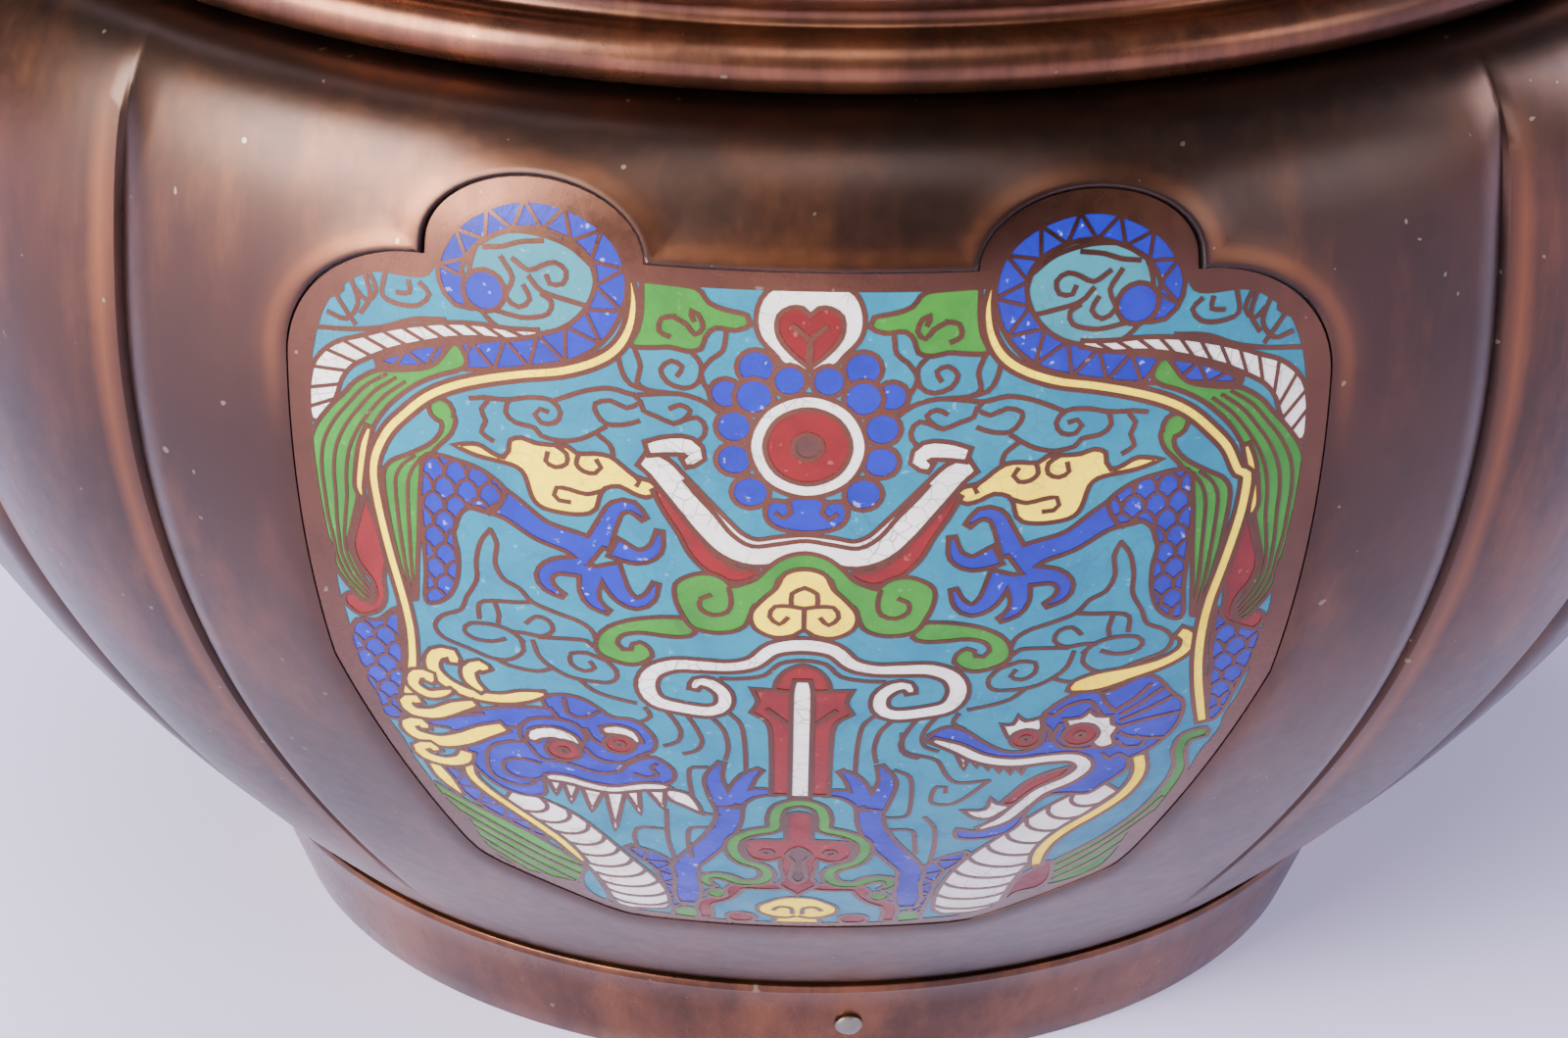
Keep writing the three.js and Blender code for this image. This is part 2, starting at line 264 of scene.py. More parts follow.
def triangulate(points: np.ndarray, edges: np.ndarray) -> tuple[np.ndarray, np.ndarray, dict[int, int]]:
    """Delaunay triangles that keep the given edges.

    Args:
        points: Points of the plane, n by 2.
        edges: Pairs of point indices.

    Returns:
        The points after crossings are added, the triangles, and where each given point went.
    """
    plane = [Vector((float(x), float(y))) for x, y in points]
    merge_below = 1e-4
    verts, _, faces, origin, _, _ = delaunay_2d_cdt(plane, edges.tolist(), [], 0, merge_below, True)
    went = {given: new for new, sources in enumerate(origin) for given in sources}
    return np.array([tuple(v) for v in verts]), np.array([f for f in faces if len(f) == 3]), went


def inner_grid(loop: np.ndarray, pitch: float) -> np.ndarray:
    """Points at an even pitch inside a closed loop, clear of its edge.

    Args:
        loop: Corners of the loop, m by 2.
        pitch: Distance from one to the next in millimetres.

    Returns:
        Points, n by 2.
    """
    low, high = loop.min(0), loop.max(0)
    across, up = (np.arange(low[k], high[k], pitch) for k in range(2))
    grid = np.array([(x, s) for s in up for x in across])
    grid = grid[inside(loop, grid)]
    return grid[gap_to(loop, grid) > pitch / 3]


def fill(loop: np.ndarray, pitch: float) -> tuple[np.ndarray, np.ndarray, list[int]]:
    """Triangles that fill a closed loop.

    Args:
        loop: Corners of the loop, m by 2.
        pitch: Distance between the points inside it.

    Returns:
        Points, triangles, and where each corner went.
    """
    plane, faces, went = triangulate(np.vstack((loop, inner_grid(loop, pitch))), ring_edges(0, len(loop)))
    return plane, faces[inside(loop, plane[faces].mean(1))], [went[i] for i in range(len(loop))]


@dataclass
class BowlForm:
    """The bowl's crest surface and lobes, in millimetres, with the sizes of its solids."""

    seat_height: float = 19.3
    seat_radius: float = 94.4
    belly_rise: float = 146.0
    belly_radius: float = 175.0
    belly_power: float = 2.03
    shoulder_rise: float = 40.0
    shoulder_power: float = 2.7
    neck_radius: float = 155.0
    lobe_count: int = 4
    narrow_width: float = 49.0
    groove_depth: float = 2.6
    groove_roll: float = 7.0
    arris_step: float = 1.3
    arris_width: float = 0.8
    narrow_bulge: float = 2.4
    tip_drop: float = 8.0
    top_fade: float = 34.0
    foot_fade: float = 70.0
    samples: int = 600
    table: np.ndarray = field(init=False)

    def __post_init__(self) -> None:
        """Tabulates the meridian: radius, height, normal and running length."""
        below = 1 - np.linspace(0, 1, self.samples + 1)
        drop = self.belly_radius - self.seat_radius
        slope = drop * self.belly_power * below ** (self.belly_power - 1) / self.belly_rise
        size = np.hypot(1, slope)
        lower = np.column_stack((
            self.belly_radius - drop * below ** self.belly_power,
            self.seat_height + self.belly_rise * (1 - below),
            1 / size,
            -slope / size,
        ))
        angle = np.linspace(0, math.pi / 2, self.samples + 1)[1:]
        out = np.cos(angle).clip(0) ** (2 / self.shoulder_power)
        up = np.sin(angle) ** (2 / self.shoulder_power)
        width = self.belly_radius - self.neck_radius
        normal_r = out ** (self.shoulder_power - 1) / width
        normal_z = up ** (self.shoulder_power - 1) / self.shoulder_rise
        size = np.hypot(normal_r, normal_z)
        upper = np.column_stack((
            self.neck_radius + width * out,
            self.seat_height + self.belly_rise + self.shoulder_rise * up,
            normal_r / size,
            normal_z / size,
        ))
        both = np.vstack((lower, upper))
        steps = np.hypot(np.diff(both[:, 0]), np.diff(both[:, 1]))
        self.table = np.column_stack((both, np.append(0, np.cumsum(steps))))

    @property
    def length(self) -> float:
        """Running length of the meridian."""
        return float(self.table[-1, 4])

    @property
    def neck_height(self) -> float:
        """Height of the bowl's upper rim."""
        return self.seat_height + self.belly_rise + self.shoulder_rise

    @property
    def lobe_angle(self) -> float:
        """Angle from one panel to the next."""
        return 2 * math.pi / self.lobe_count

    @property
    def groove_angle(self) -> float:
        """Angle from a panel's middle to the groove beside it."""
        return self.lobe_angle / 2 - self.narrow_width / self.belly_radius / 2

    def at(self, s: np.ndarray) -> tuple[np.ndarray, np.ndarray, np.ndarray, np.ndarray]:
        """Radius, height and normal of the meridian at running lengths.

        Args:
            s: Running lengths from the foot.

        Returns:
            Radius, height, and the normal's two parts.
        """
        column = [np.interp(s, self.table[:, 4], self.table[:, k]) for k in range(4)]
        return column[0], column[1], column[2], column[3]

    def lobe_place(self, theta: np.ndarray, s: np.ndarray) -> tuple[np.ndarray, np.ndarray, np.ndarray]:
        """Where points lie beside the nearest broad lobe.

        Args:
            theta: Angles round the bowl.
            s: Running lengths.

        Returns:
            Angle from the lobe's middle, distance inside its groove, and how deep the groove still is.
        """
        turn = theta - self.lobe_angle * np.round(theta / self.lobe_angle)
        across = (self.groove_angle - np.abs(turn)) * self.belly_radius
        fade = smooth((self.length - self.tip_drop - s) / self.top_fade) * smooth(s / self.foot_fade)
        return turn, across, fade

    def depth(self, theta: np.ndarray, s: np.ndarray) -> np.ndarray:
        """How far the lobed surface lies inside the crest surface.

        Args:
            theta: Angles round the bowl.
            s: Running lengths.

        Returns:
            Depths in millimetres.
        """
        _, across, fade = self.lobe_place(theta, s)
        beyond = -across - self.arris_width
        broad = self.groove_depth * (1 - ease(across / self.groove_roll))
        step = self.groove_depth - self.arris_step * -across / self.arris_width
        rise = self.narrow_bulge * ease(beyond / (self.narrow_width / 2 - self.arris_width))
        narrow = self.groove_depth - self.arris_step - rise
        return fade * np.where(across >= 0, broad, np.where(beyond < 0, step, narrow))

    def place(self, theta: np.ndarray, s: np.ndarray, offset: np.ndarray | float) -> np.ndarray:
        """Points of the surface, moved out along the meridian's normal. Angle 0 faces -Y.

        Args:
            theta: Angles round the bowl.
            s: Running lengths.
            offset: Distance outwards from the crest surface.

        Returns:
            Points, n by 3, in millimetres.
        """
        r, z, nr, nz = self.at(s)
        reach = r + nr * offset
        return np.column_stack((reach * np.sin(theta), -reach * np.cos(theta), z + nz * offset))


@dataclass
class PanelOutline:
    """The enamelled plate's outline on the bowl's belly chart, in millimetres."""

    form: BowlForm
    side_band: float = 32.0
    top_band: float = 31.5
    foot_band: float = 34.5
    flat_half: float = 24.9
    hump_half: float = 16.8
    hump_rise: float = 11.5
    shoulder_drop: float = 2.4
    shoulder_height: float = 23.0
    corner_width: float = 40.0
    knee_inset: float = 11.2
    knee_rise: float = 18.0
    side_rise: float = 75.0
    knee_blend: float = 2.5
    step: float = 1.6
    hump_steps: int = 24
    shoulder_steps: int = 18

    def loop(self, grow: float) -> np.ndarray:
        """The outline as a closed loop of points, anticlockwise.

        Args:
            grow: How far it is moved outwards.

        Returns:
            Corners, n by 2: place round the belly and running length.
        """
        half_width = self.form.groove_angle * self.form.belly_radius - self.side_band + grow
        low = self.foot_band - grow
        flat = self.form.length - self.top_band + grow
        flat_half = self.flat_half - grow
        hump = self.hump_half + grow
        start = flat_half + 2 * hump
        knee = half_width - self.knee_inset
        corner = half_width - self.corner_width
        angles = np.linspace(0, math.pi, self.hump_steps + 1)
        humps = np.column_stack((
            flat_half + hump * (1 - np.cos(angles)),
            flat + self.hump_rise * np.sin(angles),
        ))
        quarter = np.linspace(0, math.pi / 2, self.shoulder_steps + 1)
        drop = self.shoulder_drop + (self.shoulder_height - self.shoulder_drop) * (1 - np.cos(quarter))
        shoulder = np.column_stack((start + (half_width - start) * np.sin(quarter), flat - drop))
        foot = np.array([
            (half_width, low + self.side_rise),
            (knee, low + self.knee_rise),
            (corner, low),
            (0.0, low),
        ])
        foot = self.soften(self.soften(foot))
        half = self.spread(np.vstack(([(0.0, flat)], humps, shoulder, foot)))
        left = half[1:-1] * (-1, 1)
        return np.vstack((half[::-1], left))

    def soften(self, path: np.ndarray) -> np.ndarray:
        """Cuts each inner corner of a path a little, which rounds it.

        Args:
            path: The path's points, n by 2.

        Returns:
            The new path.
        """
        rounded = [path[0]]
        for before, corner, after in zip(path, path[1:], path[2:]):
            for other in (before, after):
                away = other - corner
                reach = min(self.knee_blend, np.hypot(*away) / 3)
                rounded.append(corner + away / np.hypot(*away) * reach)
        return np.array([*rounded, path[-1]])

    def spread(self, path: np.ndarray) -> np.ndarray:
        """Points at an even pace along a path, its own corners kept.

        Args:
            path: The path's points, n by 2.

        Returns:
            The new path.
        """
        points = [path[:1]]
        for start, end in zip(path, path[1:]):
            count = max(1, round(float(np.hypot(*(end - start))) / self.step))
            points.append(start + (end - start) * (np.arange(1, count + 1) / count)[:, None])
        return np.vstack(points)


def ring_edges(start: int, count: int) -> np.ndarray:
    """Index pairs that close a ring of points.

    Args:
        start: Index of the ring's first point.
        count: How many points it has.

    Returns:
        Pairs, count by 2.
    """
    index = np.arange(count)
    return start + np.column_stack((index, (index + 1) % count))


def offset_loop(loop: np.ndarray, distance: float) -> np.ndarray:
    """Moves an anticlockwise loop outwards at its corners.

    Args:
        loop: Corners, n by 2.
        distance: How far, negative for inwards.

    Returns:
        The moved corners.
    """
    before = loop - np.roll(loop, 1, 0)
    after = np.roll(loop, -1, 0) - loop
    before /= np.hypot(*before.T)[:, None].clip(1e-9)
    after /= np.hypot(*after.T)[:, None].clip(1e-9)
    middle = before + after
    middle /= np.hypot(*middle.T)[:, None].clip(1e-9)
    sharpest = 0.6
    stretch = 1 / (middle * after).sum(1).clip(sharpest, 1)
    normal = np.column_stack((middle[:, 1], -middle[:, 0]))
    return loop + normal * (distance * stretch)[:, None]


@dataclass
class BowlShell:
    """The lobed bronze bowl: its outside with grooves and recesses, the lining, floor and spigot."""

    form: BowlForm
    outline: PanelOutline
    finish: bpy.types.Material
    wall: float = 3.8
    floor: float = 5.0
    mouth_radius: float = 149.0
    spigot_outer: float = 78.7
    spigot_width: float = 6.0
    spigot_depth: float = 14.0
    recess_depth: float = 1.9
    seam: float = 0.2
    crest_columns: int = 44
    roll_columns: int = 10
    step_columns: int = 3
    narrow_columns: int = 9
    rows: int = 112
    lining_rows: int = 26
    floor_rings: int = 8
    lip_rise: float = 0.68
    lip_round: float = 0.9
    lip_fade: float = 8.0
    side_sink: float = 0.5
    side_roll: float = 4.5
    lip_start: float = 165.0
    lip_span: float = 24.0
    bed_pitch: float = 9.0
    # Painted shade along each groove, and a dark line along the top of each recess.
    crease_line: float = -0.2
    crease_width: float = 0.8
    crease_shade: float = 0.5
    seam_line_start: float = 176.0
    seam_line_span: float = 8.0
    seam_line_width: float = 0.8
    # Copper beside each groove's arris, partly rubbed wear and partly painted highlight, and a painted
    # highlight along the lip over each plate.
    arris_line: float = -2.6
    highlight_width: float = 1.5
    arris_wear_and_highlight: float = 0.5
    lip_highlight_start: float = 150.0
    lip_highlight_span: float = 25.0
    lip_highlight_line: float = 2.4
    lip_highlight: float = 0.3
    rings: tuple[float, ...] = (0.18, 0.42, 0.75, 1.2, 1.9, 2.8, 4.2, 6.4)

    def columns(self) -> np.ndarray:
        """Places across one broad lobe and its halves of the narrow ones, close together in the grooves.

        Returns:
            Places in millimetres round the belly.
        """
        form = self.form
        groove = form.groove_angle * form.belly_radius
        edge = form.lobe_angle / 2 * form.belly_radius
        crest = np.linspace(0, groove - form.groove_roll, self.crest_columns // 2 + 1)
        roll = np.linspace(groove - form.groove_roll, groove, self.roll_columns + 1)
        arris = np.linspace(groove, groove + form.arris_width, self.step_columns + 1)
        narrow = np.linspace(groove + form.arris_width, edge, self.narrow_columns + 1)
        half = np.concatenate((crest, roll[1:], arris[1:], narrow[1:]))
        return np.concatenate((-half[:0:-1], half))

    def lip(self, gap: np.ndarray, s: np.ndarray) -> np.ndarray:
        """How the metal rises and rolls over beside the plate: proud above it, a fine line at its sides.

        Args:
            gap: Distance from the recess.
            s: Running lengths.

        Returns:
            Offsets from the crest surface.
        """
        top = smooth((s - self.lip_start) / self.lip_span)
        proud = self.lip_rise * (1 - ease((gap - self.lip_round) / self.lip_fade))
        proud = proud - self.lip_rise * (1 - ease(gap / self.lip_round)) ** 2
        low = -self.side_sink * (1 - ease(gap / self.side_roll))
        return top * proud + (1 - top) * low

    def outside(self) -> tuple[np.ndarray, list]:
        """One broad lobe's outside with its recess, on the chart.

        Returns:
            Points, n by 3, for the lobe that faces -Y, and the faces.
        """
        form = self.form
        loop = self.outline.loop(self.seam)
        columns = self.columns()
        rows = np.linspace(0, form.length, self.rows + 1)
        grid = np.array([(x, s) for s in rows for x in columns])
        clear = 1.15
        keep = ~inside(loop, grid) & (gap_to(loop, grid) > self.rings[-1] * clear)
        rings = []
        unfolded = 0.86
        for distance in self.rings:
            ring = offset_loop(loop, distance)
            rings.append(ring[gap_to(loop, ring) > distance * unfolded])
        points = np.vstack((loop, *rings, grid[keep]))
        plane, faces, went = triangulate(points, ring_edges(0, len(loop)))
        faces = faces[~inside(loop, plane[faces].mean(1))]
        theta = plane[:, 0] / form.belly_radius
        offset = self.lip(gap_to(loop, plane), plane[:, 1]) - form.depth(theta, plane[:, 1])
        skin = form.place(theta, plane[:, 1], offset)
        rim = skin[[went[i] for i in range(len(loop))]]
        wall_points, wall_faces = self.recess(loop, rim)
        faces = faces.tolist() + [[i + len(skin) for i in face] for face in wall_faces]
        return np.vstack((skin, wall_points)), faces

    def recess(self, loop: np.ndarray, rim: np.ndarray) -> tuple[np.ndarray, list]:
        """The recess under one plate: its wall and its floor.

        Args:
            loop: The recess on the chart.
            rim: The same loop on the bowl's skin, in space.

        Returns:
            Points and faces.
        """
        plane, faces, went = fill(loop, self.bed_pitch)
        bed = self.form.place(plane[:, 0] / self.form.belly_radius, plane[:, 1], -self.recess_depth)
        count = len(loop)
        wall = []
        for i in range(count):
            n = (i + 1) % count
            wall.append([i, n, count + went[n], count + went[i]])
        return np.vstack((rim, bed)), wall + (faces + count).tolist()

    def turned(self, angles: np.ndarray) -> tuple[np.ndarray, list]:
        """Everything that isn't the outside skin, as rings of points round the axis.

        Args:
            angles: Angles of the columns.

        Returns:
            Points and faces, with the two poles as single points.
        """
        form = self.form
        spigot_inner = self.spigot_outer - self.spigot_width
        spigot_low = form.seat_height - self.spigot_depth
        floor_height = form.seat_height + self.floor
        ring = np.column_stack((np.sin(angles), -np.cos(angles)))

        def level(radius: float, z: float) -> np.ndarray:
            """A level ring of points."""
            return np.column_stack((ring * radius, np.full(len(ring), z)))

        under = [
            (form.seat_radius, form.seat_height),
            (self.spigot_outer, form.seat_height),
            (self.spigot_outer, spigot_low),
            (spigot_inner, spigot_low),
            (spigot_inner, form.seat_height),
            *[(spigot_inner * share, form.seat_height) for share in (0.75, 0.5, 0.25)],
        ]
        table = form.table
        inner_z = table[:, 1] - table[:, 3] * self.wall
        start = table[np.argmax(inner_z > floor_height), 4]
        shares = ease(np.linspace(0, 1, self.lining_rows + 1))
        lining = []
        for s in start + (form.length - start) * shares[::-1]:
            run = np.full(len(angles), s)
            lining.append(form.place(angles, run, -self.wall - form.depth(angles, run)))
        lining[-1][:, 2] = floor_height
        last = lining[-1]
        floor = [
            np.column_stack((last[:, :2] * (1 - k / self.floor_rings), last[:, 2]))
            for k in range(1, self.floor_rings)
        ]
        upper = [
            level(form.neck_radius, form.neck_height),
            level(self.mouth_radius, form.neck_height),
            level(self.mouth_radius, form.neck_height - self.wall),
        ]
        points: list[np.ndarray] = []
        faces: list = []
        for rings, pole in (
            ([level(r, z) for r, z in under], (0, 0, form.seat_height)),
            ([*upper, *lining, *floor], (0, 0, floor_height)),
        ):
            base = sum(len(p) for p in points)
            points.extend([*rings, np.array([pole])])
            count = len(angles)
            for j in range(len(rings) - 1):
                for i in range(count):
                    a, b = base + j * count + i, base + j * count + (i + 1) % count
                    faces.append([a, b, b + count, a + count])
            centre = base + len(rings) * count
            edge = centre - count
            faces.extend([edge + i, edge + (i + 1) % count, centre] for i in range(count))
        return np.vstack(points), faces

    def write_wear_and_painted_light(self, mesh: bpy.types.Mesh) -> None:
        """Writes the marks that the bronze paints: painted shade in the grooves, a dark line along the top
        of each recess, and copper that is partly rubbed wear, partly painted highlight.

        Args:
            mesh: The mesh.
        """
        form = self.form
        places = np.empty(len(mesh.vertices) * 3)
        mesh.vertices.foreach_get("co", places)
        x, y, z = (places.reshape(-1, 3) / MM).T
        s = np.interp(z, form.table[:, 1], form.table[:, 4])
        turn, across, fade = form.lobe_place(np.arctan2(x, -y), s)
        gap = gap_to(self.outline.loop(self.seam), np.column_stack((turn * form.belly_radius, s)))
        # Painted shade along each groove, and a dark line along the top of each recess.
        edge = smooth((s - self.seam_line_start) / self.seam_line_span)
        groove_shade_and_seam_line = self.crease_shade * ridge(across, self.crease_line, self.crease_width) * fade
        groove_shade_and_seam_line = groove_shade_and_seam_line + edge * ridge(gap, 0.0, self.seam_line_width)
        # Copper beside each groove's arris, partly rubbed wear and partly painted highlight, and a painted
        # highlight along the lip over each plate.
        top = smooth((s - self.lip_highlight_start) / self.lip_highlight_span)
        rub_and_highlight = self.arris_wear_and_highlight * ridge(across, self.arris_line, self.highlight_width) * fade
        rub_and_highlight = rub_and_highlight + self.lip_highlight * top * ridge(gap, self.lip_highlight_line, self.highlight_width)
        for name, values in (("groove_shade_and_seam_line", groove_shade_and_seam_line), ("rub_and_highlight", rub_and_highlight)):
            layer = mesh.attributes.new(name, "FLOAT", "POINT")
            layer.data.foreach_set("value", clamp01(values).astype(np.float32))

    def build(self) -> bpy.types.Object:
        """Builds the bowl as one closed mesh and dresses it.

        Returns:
            The piece.
        """
        skin, skin_faces = self.outside()
        columns = self.columns()[:-1] / self.form.belly_radius
        turns = [self.form.lobe_angle * k for k in range(self.form.lobe_count)]
        core, core_faces = self.turned(np.concatenate([columns + turn for turn in turns]))
        points, faces = [core], list(core_faces)
        for k, turn in enumerate(turns):
            spin = np.array(Matrix.Rotation(turn, 3, "Z"))
            base = len(core) + k * len(skin)
            points.append(skin @ spin.T)
            faces.extend([i + base for i in face] for face in skin_faces)
        piece = mesh_object("bowl_shell", np.vstack(points), faces, [self.finish], weld=0.002)
        self.write_wear_and_painted_light(piece.data)
        place_piece(piece, Slot.PATINATED_BRONZE, "bowl")
        return piece


class Sketch:
    """A drawing in bronze walls and enamel, as painted layers: a later shape covers an earlier one."""

    def __init__(self, wire: float) -> None:
        """Starts an empty drawing.

        Args:
            wire: Width of a bronze wall in millimetres.
        """
        self.wire_width = wire
        self.layers: list[tuple[np.ndarray, Tint, np.ndarray | None]] = []

    @staticmethod
    def curve(points: list, closed: bool = False, pace: float = 1.1) -> np.ndarray:
        """A smooth path through points. A point given twice is a corner.

        Args:
            points: Places, and widths where the path carries them.
            closed: Whether the last point joins the first.
            pace: Rough distance between the new points in millimetres.

        Returns:
            Points of the path.
        """
        given = np.array(points, float)
        most_steps, steepest = 8, 1.3
        keep = [0]
        corners = set()
        for i in range(1, len(given)):
            if np.allclose(given[i, :2], given[keep[-1], :2]):
                corners.add(len(keep) - 1)
            else:
                keep.append(i)
        nodes = given[keep]
        count = len(nodes)
        made = []
        for i in range(count if closed else count - 1):
            b, c = nodes[i], nodes[(i + 1) % count]
            before = nodes[i - 1] if (closed or i > 0) and i not in corners else 2 * b - c
            last = (i + 1) % count
            free = (closed or i + 2 < count) and last not in corners
            after = nodes[(i + 2) % count] if free else 2 * c - b
            reach = float(np.hypot(*(c - b)[:2]))
            steps = max(1, min(most_steps, round(reach / pace)))
            t = (np.arange(steps) / steps)[:, None]
            slope_b, slope_c = (c - before) / 2, (after - b) / 2
            for slope in (slope_b, slope_c):
                slope *= min(1.0, steepest * reach / max(np.hypot(*slope[:2]), 1e-6))
            made.append(
                (2 * t**3 - 3 * t**2 + 1) * b + (t**3 - 2 * t**2 + t) * slope_b
                + (3 * t**2 - 2 * t**3) * c + (t**3 - t**2) * slope_c
            )
        if not closed:
            made.append(nodes[-1:])
        return np.vstack(made)

    @staticmethod
    def band(path: np.ndarray, half: np.ndarray | float, reach: float) -> np.ndarray:
        """The outline of a band that follows a path.

        Args:
            path: Middle line, n by 2.
            half: Half widths along it.
            reach: How far the ends are pushed out.

        Returns:
            A closed loop.
        """
        along = np.gradient(path, axis=0)
        along /= np.hypot(*along.T)[:, None].clip(1e-9)
        side = np.column_stack((-along[:, 1], along[:, 0])) * np.broadcast_to(half, len(path))[:, None]
        centre = path.copy()
        centre[0] -= along[0] * reach
        centre[-1] += along[-1] * reach
        return np.vstack((centre - side, (centre + side)[::-1]))

    def paint(self, loop: np.ndarray, tint: Tint, clip: np.ndarray | None = None) -> None:
        """Adds one closed shape on top of what is there."""
        self.layers.append((loop, tint, clip))

    def wire(
        self,
        points: list | np.ndarray,
        closed: bool = False,
        clip: np.ndarray | None = None,
        width: float = 0.0,
    ) -> None:
        """A bronze wall along a smooth path.

        Args:
            points: The path's points.
            closed: Whether it returns to its start.
            clip: A loop that the wall stays inside.
            width: Its width where it isn't the usual one.
        """
        path = self.curve(points, closed)[:, :2]
        if closed:
            path = np.vstack((path, path[:1]))
        half = (width or self.wire_width) / 2
        end_share = 0.6
        self.paint(self.band(path, half, half * end_share), Tint.BRONZE, clip)

    def cells(self, tint: Tint, *outlines: list) -> list[np.ndarray]:
        """Enamel cells with a wall round them. Cells given together run into each other.

        Args:
            tint: Their colour.
            outlines: Closed outlines, along the middle of their wall.

        Returns:
            The loops of enamel inside the walls.
        """
        loops = []
        for outline in outlines:
            loop = self.curve(outline, closed=True)[:, :2]
            following = np.roll(loop, -1, 0)
            turn = (loop[:, 0] * following[:, 1] - following[:, 0] * loop[:, 1]).sum()
            loops.append(loop if turn > 0 else loop[::-1])
        for loop in loops:
            self.paint(offset_loop(loop, self.wire_width / 2), Tint.BRONZE)
        thin = [offset_loop(loop, -self.wire_width / 2) for loop in loops]
        for loop in thin:
            self.paint(loop, tint)
        return thin

    def ribbons(self, tint: Tint, *centres: list) -> list[np.ndarray]:
        """Enamel bands of changing width. Bands given together run into each other.

        Args:
            tint: Their colour.
            centres: Middle lines, as places with the width from wall to wall.

        Returns:
            The loops of enamel inside the walls.
        """
        half = self.wire_width / 2
        thinnest = 0.06
        paths = [self.curve(centre) for centre in centres]
        for path in paths:
            self.paint(self.band(path[:, :2], path[:, 2] / 2 + half, half), Tint.BRONZE)
        thin = [self.band(p[:, :2], (p[:, 2] / 2 - half).clip(thinnest), -half) for p in paths]
        for loop in thin:
            self.paint(loop, tint)
        return thin

    def discs(self, tint: Tint, *rounds: tuple[float, float, float]) -> list[np.ndarray]:
        """Round cells, each given by its centre and radius.

        Args:
            tint: Their colour.
            rounds: Centre and radius of each.

        Returns:
            The loops of enamel inside the walls.
        """
        angles = np.radians(range(0, 360, 45))
        outlines = [[(x + r * math.cos(a), y + r * math.sin(a)) for a in angles] for x, y, r in rounds]
        return self.cells(tint, *outlines)

    def across(self, centre: list, pitch: float) -> tuple[np.ndarray, np.ndarray, np.ndarray]:
        """Places at an even pitch along a band: its middle, the way along and the half width across.

        Args:
            centre: Middle line, as places with the width of the band.
            pitch: Distance from one to the next in millimetres.

        Returns:
            Middle points, directions along the band, and half widths across it.
        """
        path = self.curve(centre)
        run = np.concatenate(([0], np.hypot(*np.diff(path[:, :2], axis=0).T).cumsum()))
        count = max(2, round(run[-1] / pitch))
        places = np.linspace(0, run[-1], count + 1)
        middle = np.column_stack([np.interp(places, run, path[:, k]) for k in range(3)])
        along = np.gradient(middle[:, :2], axis=0)
        along /= np.hypot(*along.T)[:, None]
        reach = np.column_stack((-along[:, 1], along[:, 0])) * middle[:, 2:] / 2
        return middle[:, :2], along, reach

    def zigzag(self, centre: list, pitch: float, clip: np.ndarray, width: float) -> None:
        """Three-cornered scales along a band: a wall that runs from side to side.

        Args:
            centre: Middle line, as places with the width of the band.
            pitch: Distance from one to the next in millimetres.
            clip: The loop that they stay inside.
            width: Width of a wall in millimetres.
        """
        middle, _, reach = self.across(centre, pitch)
        signs = np.where(np.arange(len(middle)) % 2, 1, -1)[:, None]
        corners = middle + reach * signs
        for a, b in zip(corners[:-1], corners[1:]):
            self.wire([a, b], clip=clip, width=width)

    def ribs(
        self, centre: list, pitch: float, slant: float, clip: np.ndarray, width: float, bow: float = 0.0,
    ) -> None:
        """Walls across a band, slanted or bowed towards its end.

        Args:
            centre: Middle line, as places with the width of the band.
            pitch: Distance from one to the next in millimetres.
            slant: How far a wall's ends lean along the band.
            clip: The loop that they stay inside.
            width: Width of a wall in millimetres.
            bow: How far its middle bends along the band.
        """
        middle, along, reach = self.across(centre, pitch)
        for m, way, side in zip(middle[1:-1], along[1:-1], reach[1:-1]):
            rib = []
            for share, rise in ((-1.0, 0.0), (-0.6, 0.72), (0.0, 1.0), (0.6, 0.72), (1.0, 0.0)):
                rib.append(m + side * share + way * (bow * rise + slant * share))
            self.wire(rib, clip=clip, width=width)

    def stripes(self, first: list, second: list, count: int, clip: np.ndarray, width: float) -> None:
        """Walls that run between two edges of a fin.

        Args:
            first: One edge of the fin.
            second: Its other edge.
            count: How many walls.
            clip: The loop that they stay inside.
            width: Width of a wall in millimetres.
        """
        places = 12
        shares = np.linspace(0, 1, places)
        edges = []
        for edge in (first, second):
            path = self.curve(edge)
            steps = np.linspace(0, 1, len(path))
            edges.append(np.column_stack([np.interp(shares, steps, path[:, k]) for k in range(2)]))
        for k in range(1, count + 1):
            share = k / (count + 1)
            self.wire(edges[0] * (1 - share) + edges[1] * share, clip=clip, width=width)

    def scales(self, clip: np.ndarray, across: float, rise: float, width: float) -> None:
        """Round scales in staggered rows inside a cell.

        Args:
            clip: The loop that they stay inside.
            across: Width of a scale.
            rise: Height of a row.
            width: Width of a wall in millimetres.
        """
        low, high = clip.min(0), clip.max(0)
        for row, s in enumerate(np.arange(low[1] - rise, high[1], rise)):
            for a in np.arange(low[0] - across + across / 2 * (row % 2), high[0] + across, across):
                arch = np.array([
                    (a + across * share, s + rise * up)
                    for share, up in ((-0.5, 0), (-0.42, 0.6), (0, 1), (0.42, 0.6), (0.5, 0))
                ])
                if inside(clip, arch).any():
                    self.wire(arch, clip=clip, width=width)


